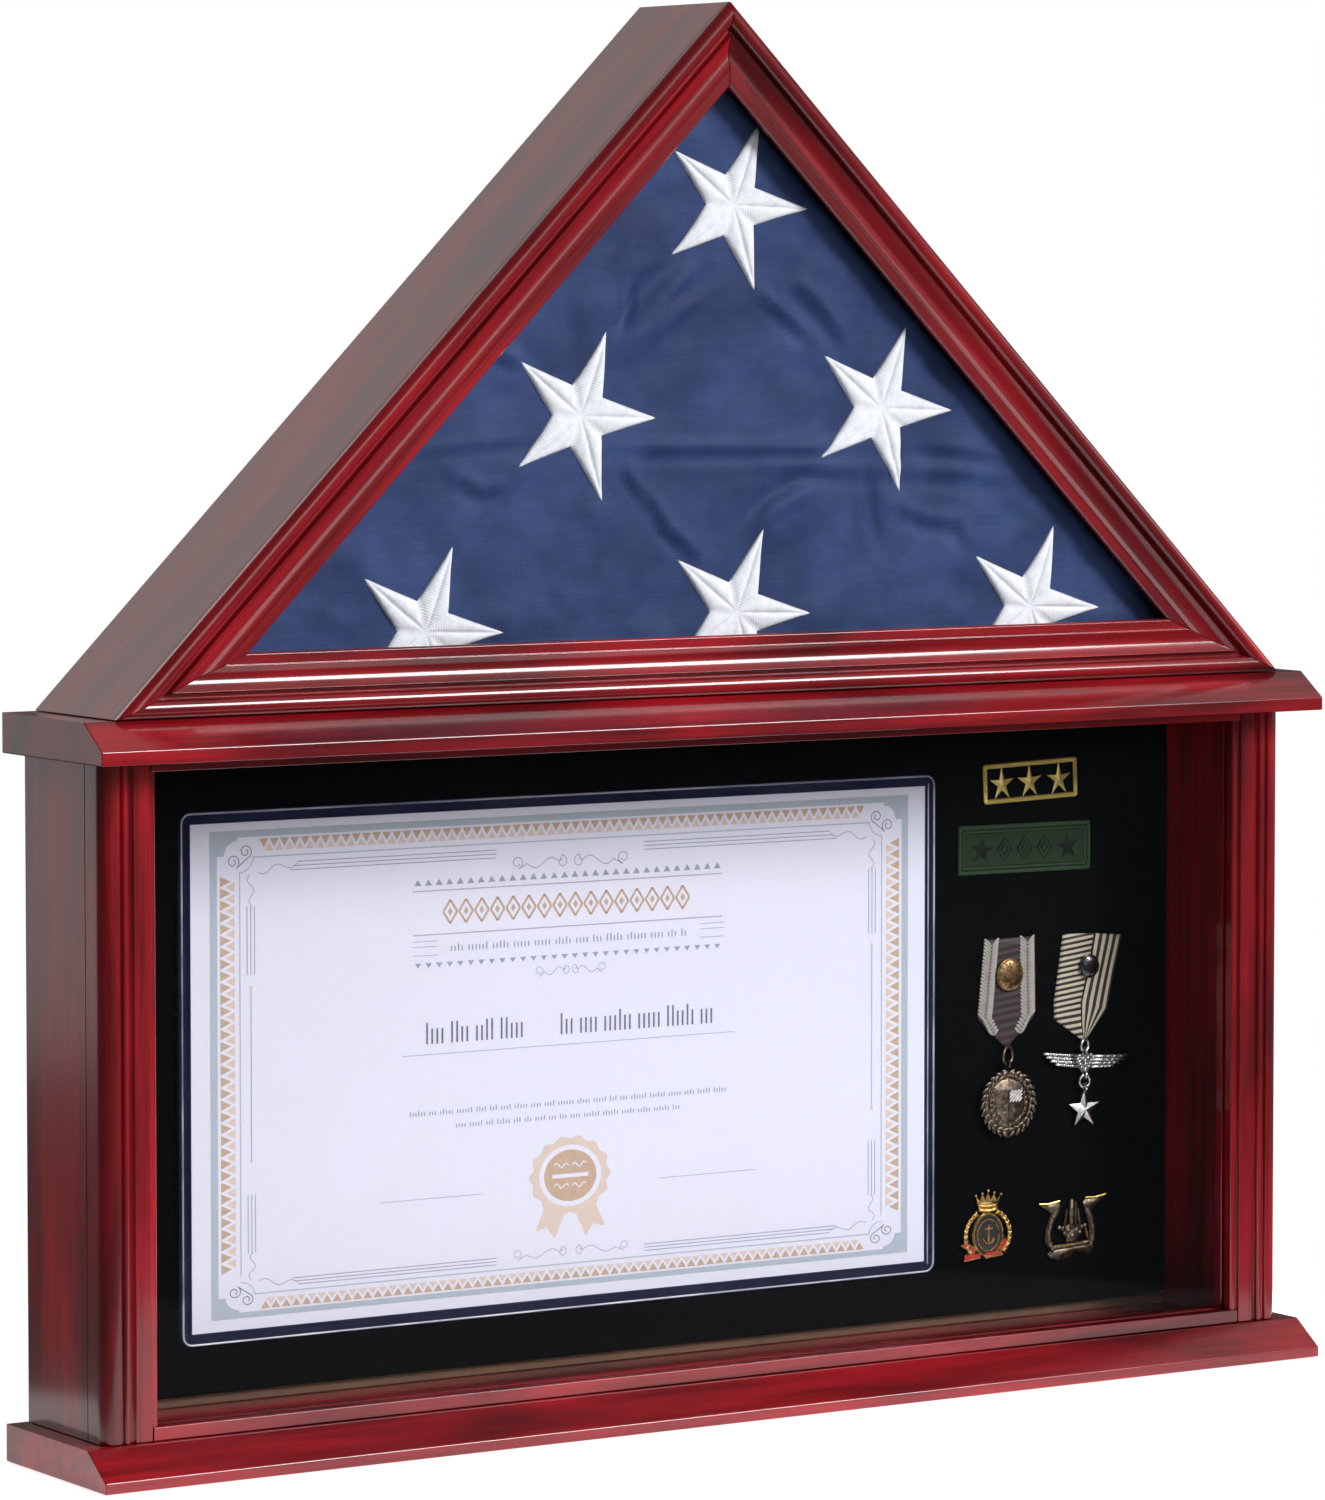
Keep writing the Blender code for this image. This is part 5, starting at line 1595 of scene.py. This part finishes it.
FLOOR_RADIUS = 0.45
FLOOR_GAP = 0.0005
WORLD_LIGHT = 0.09
LIT_POINT = (0, 0, 0.3)
SOFT_BOXES = {  # place, width and height, and power in watts
    "key": ((1.75, -2.75, 2.1), (1.3, 1.3), 158),
    "overhead": ((1.3, -0.2, 2.3), (2.4, 1.6), 6),
    "front": ((0.1, -3.4, 1.1), (1.6, 1.4), 18),
    "above_behind": ((-0.1, 2.6, 2.0), (2.5, 1.4), 7),
    "left_above_behind": ((-1.6, 2.2, 2.2), (1.8, 1.6), 30),
    "left_behind": ((-2.2, 2.8, 0.5), (2.0, 1.5), 8),
    "right": ((3.3, -0.7, 0.9), (1.5, 1.5), 13),
}


def studio():
    """A small pale floor, soft boxes all round and a white world."""
    bpy.ops.mesh.primitive_circle_add(
        vertices=96, radius=FLOOR_RADIUS, fill_type="NGON", location=(0, 0, -FLOOR_GAP),
    )
    floor = bpy.context.object
    floor.name = "floor"
    pale = Recipe("pale_floor", (0.86, 0.86, 0.87), 0.7, Emission_Strength=0.75)
    pale.set(pale.shader, {"Emission Color": (1, 1, 1, 1), "Specular IOR Level": 0.1})
    floor.data.materials.append(pale.material)
    light_world()
    for name, settings in SOFT_BOXES.items():
        soft_box(name, *settings)


def light_world():
    """White all round to look at, and dim as a light."""
    world = bpy.data.worlds.new("studio")
    bpy.context.scene.world = world
    world.use_nodes = True
    tree = world.node_tree
    light = tree.nodes["Background"]
    light.inputs["Color"].default_value = (1, 1, 1, 1)
    light.inputs["Strength"].default_value = WORLD_LIGHT
    seen = tree.nodes.new("ShaderNodeBackground")
    seen.inputs["Color"].default_value = (1, 1, 1, 1)
    path = tree.nodes.new("ShaderNodeLightPath")
    mix = tree.nodes.new("ShaderNodeMixShader")
    tree.links.new(path.outputs["Is Camera Ray"], mix.inputs[0])
    tree.links.new(light.outputs[0], mix.inputs[1])
    tree.links.new(seen.outputs[0], mix.inputs[2])
    tree.links.new(mix.outputs[0], tree.nodes["World Output"].inputs["Surface"])
    bpy.context.scene.view_settings.view_transform = "Standard"


def soft_box(name, place, size, power):
    lamp = bpy.data.lights.new(name, "AREA")
    lamp.shape = "RECTANGLE"
    lamp.size, lamp.size_y = size
    lamp.energy = power
    obj = placed(name, lamp)
    obj.location = place
    obj.rotation_euler = (Vector(LIT_POINT) - Vector(place)).to_track_quat("-Z", "Y").to_euler()
    obj.visible_camera = False


def camera():
    lens = bpy.data.cameras.new("camera")
    lens.lens = LENS
    lens.shift_y = SHIFT_Y
    obj = placed("camera", lens)
    obj.location = CAMERA_PLACE
    obj.rotation_euler = (math.radians(90 + CAMERA_PITCH), 0, math.radians(CAMERA_YAW))
    bpy.context.scene.camera = obj


camera()
studio()
woodwork()
panes()
metalwork()
backs()
flag()
certificate()
decorations()
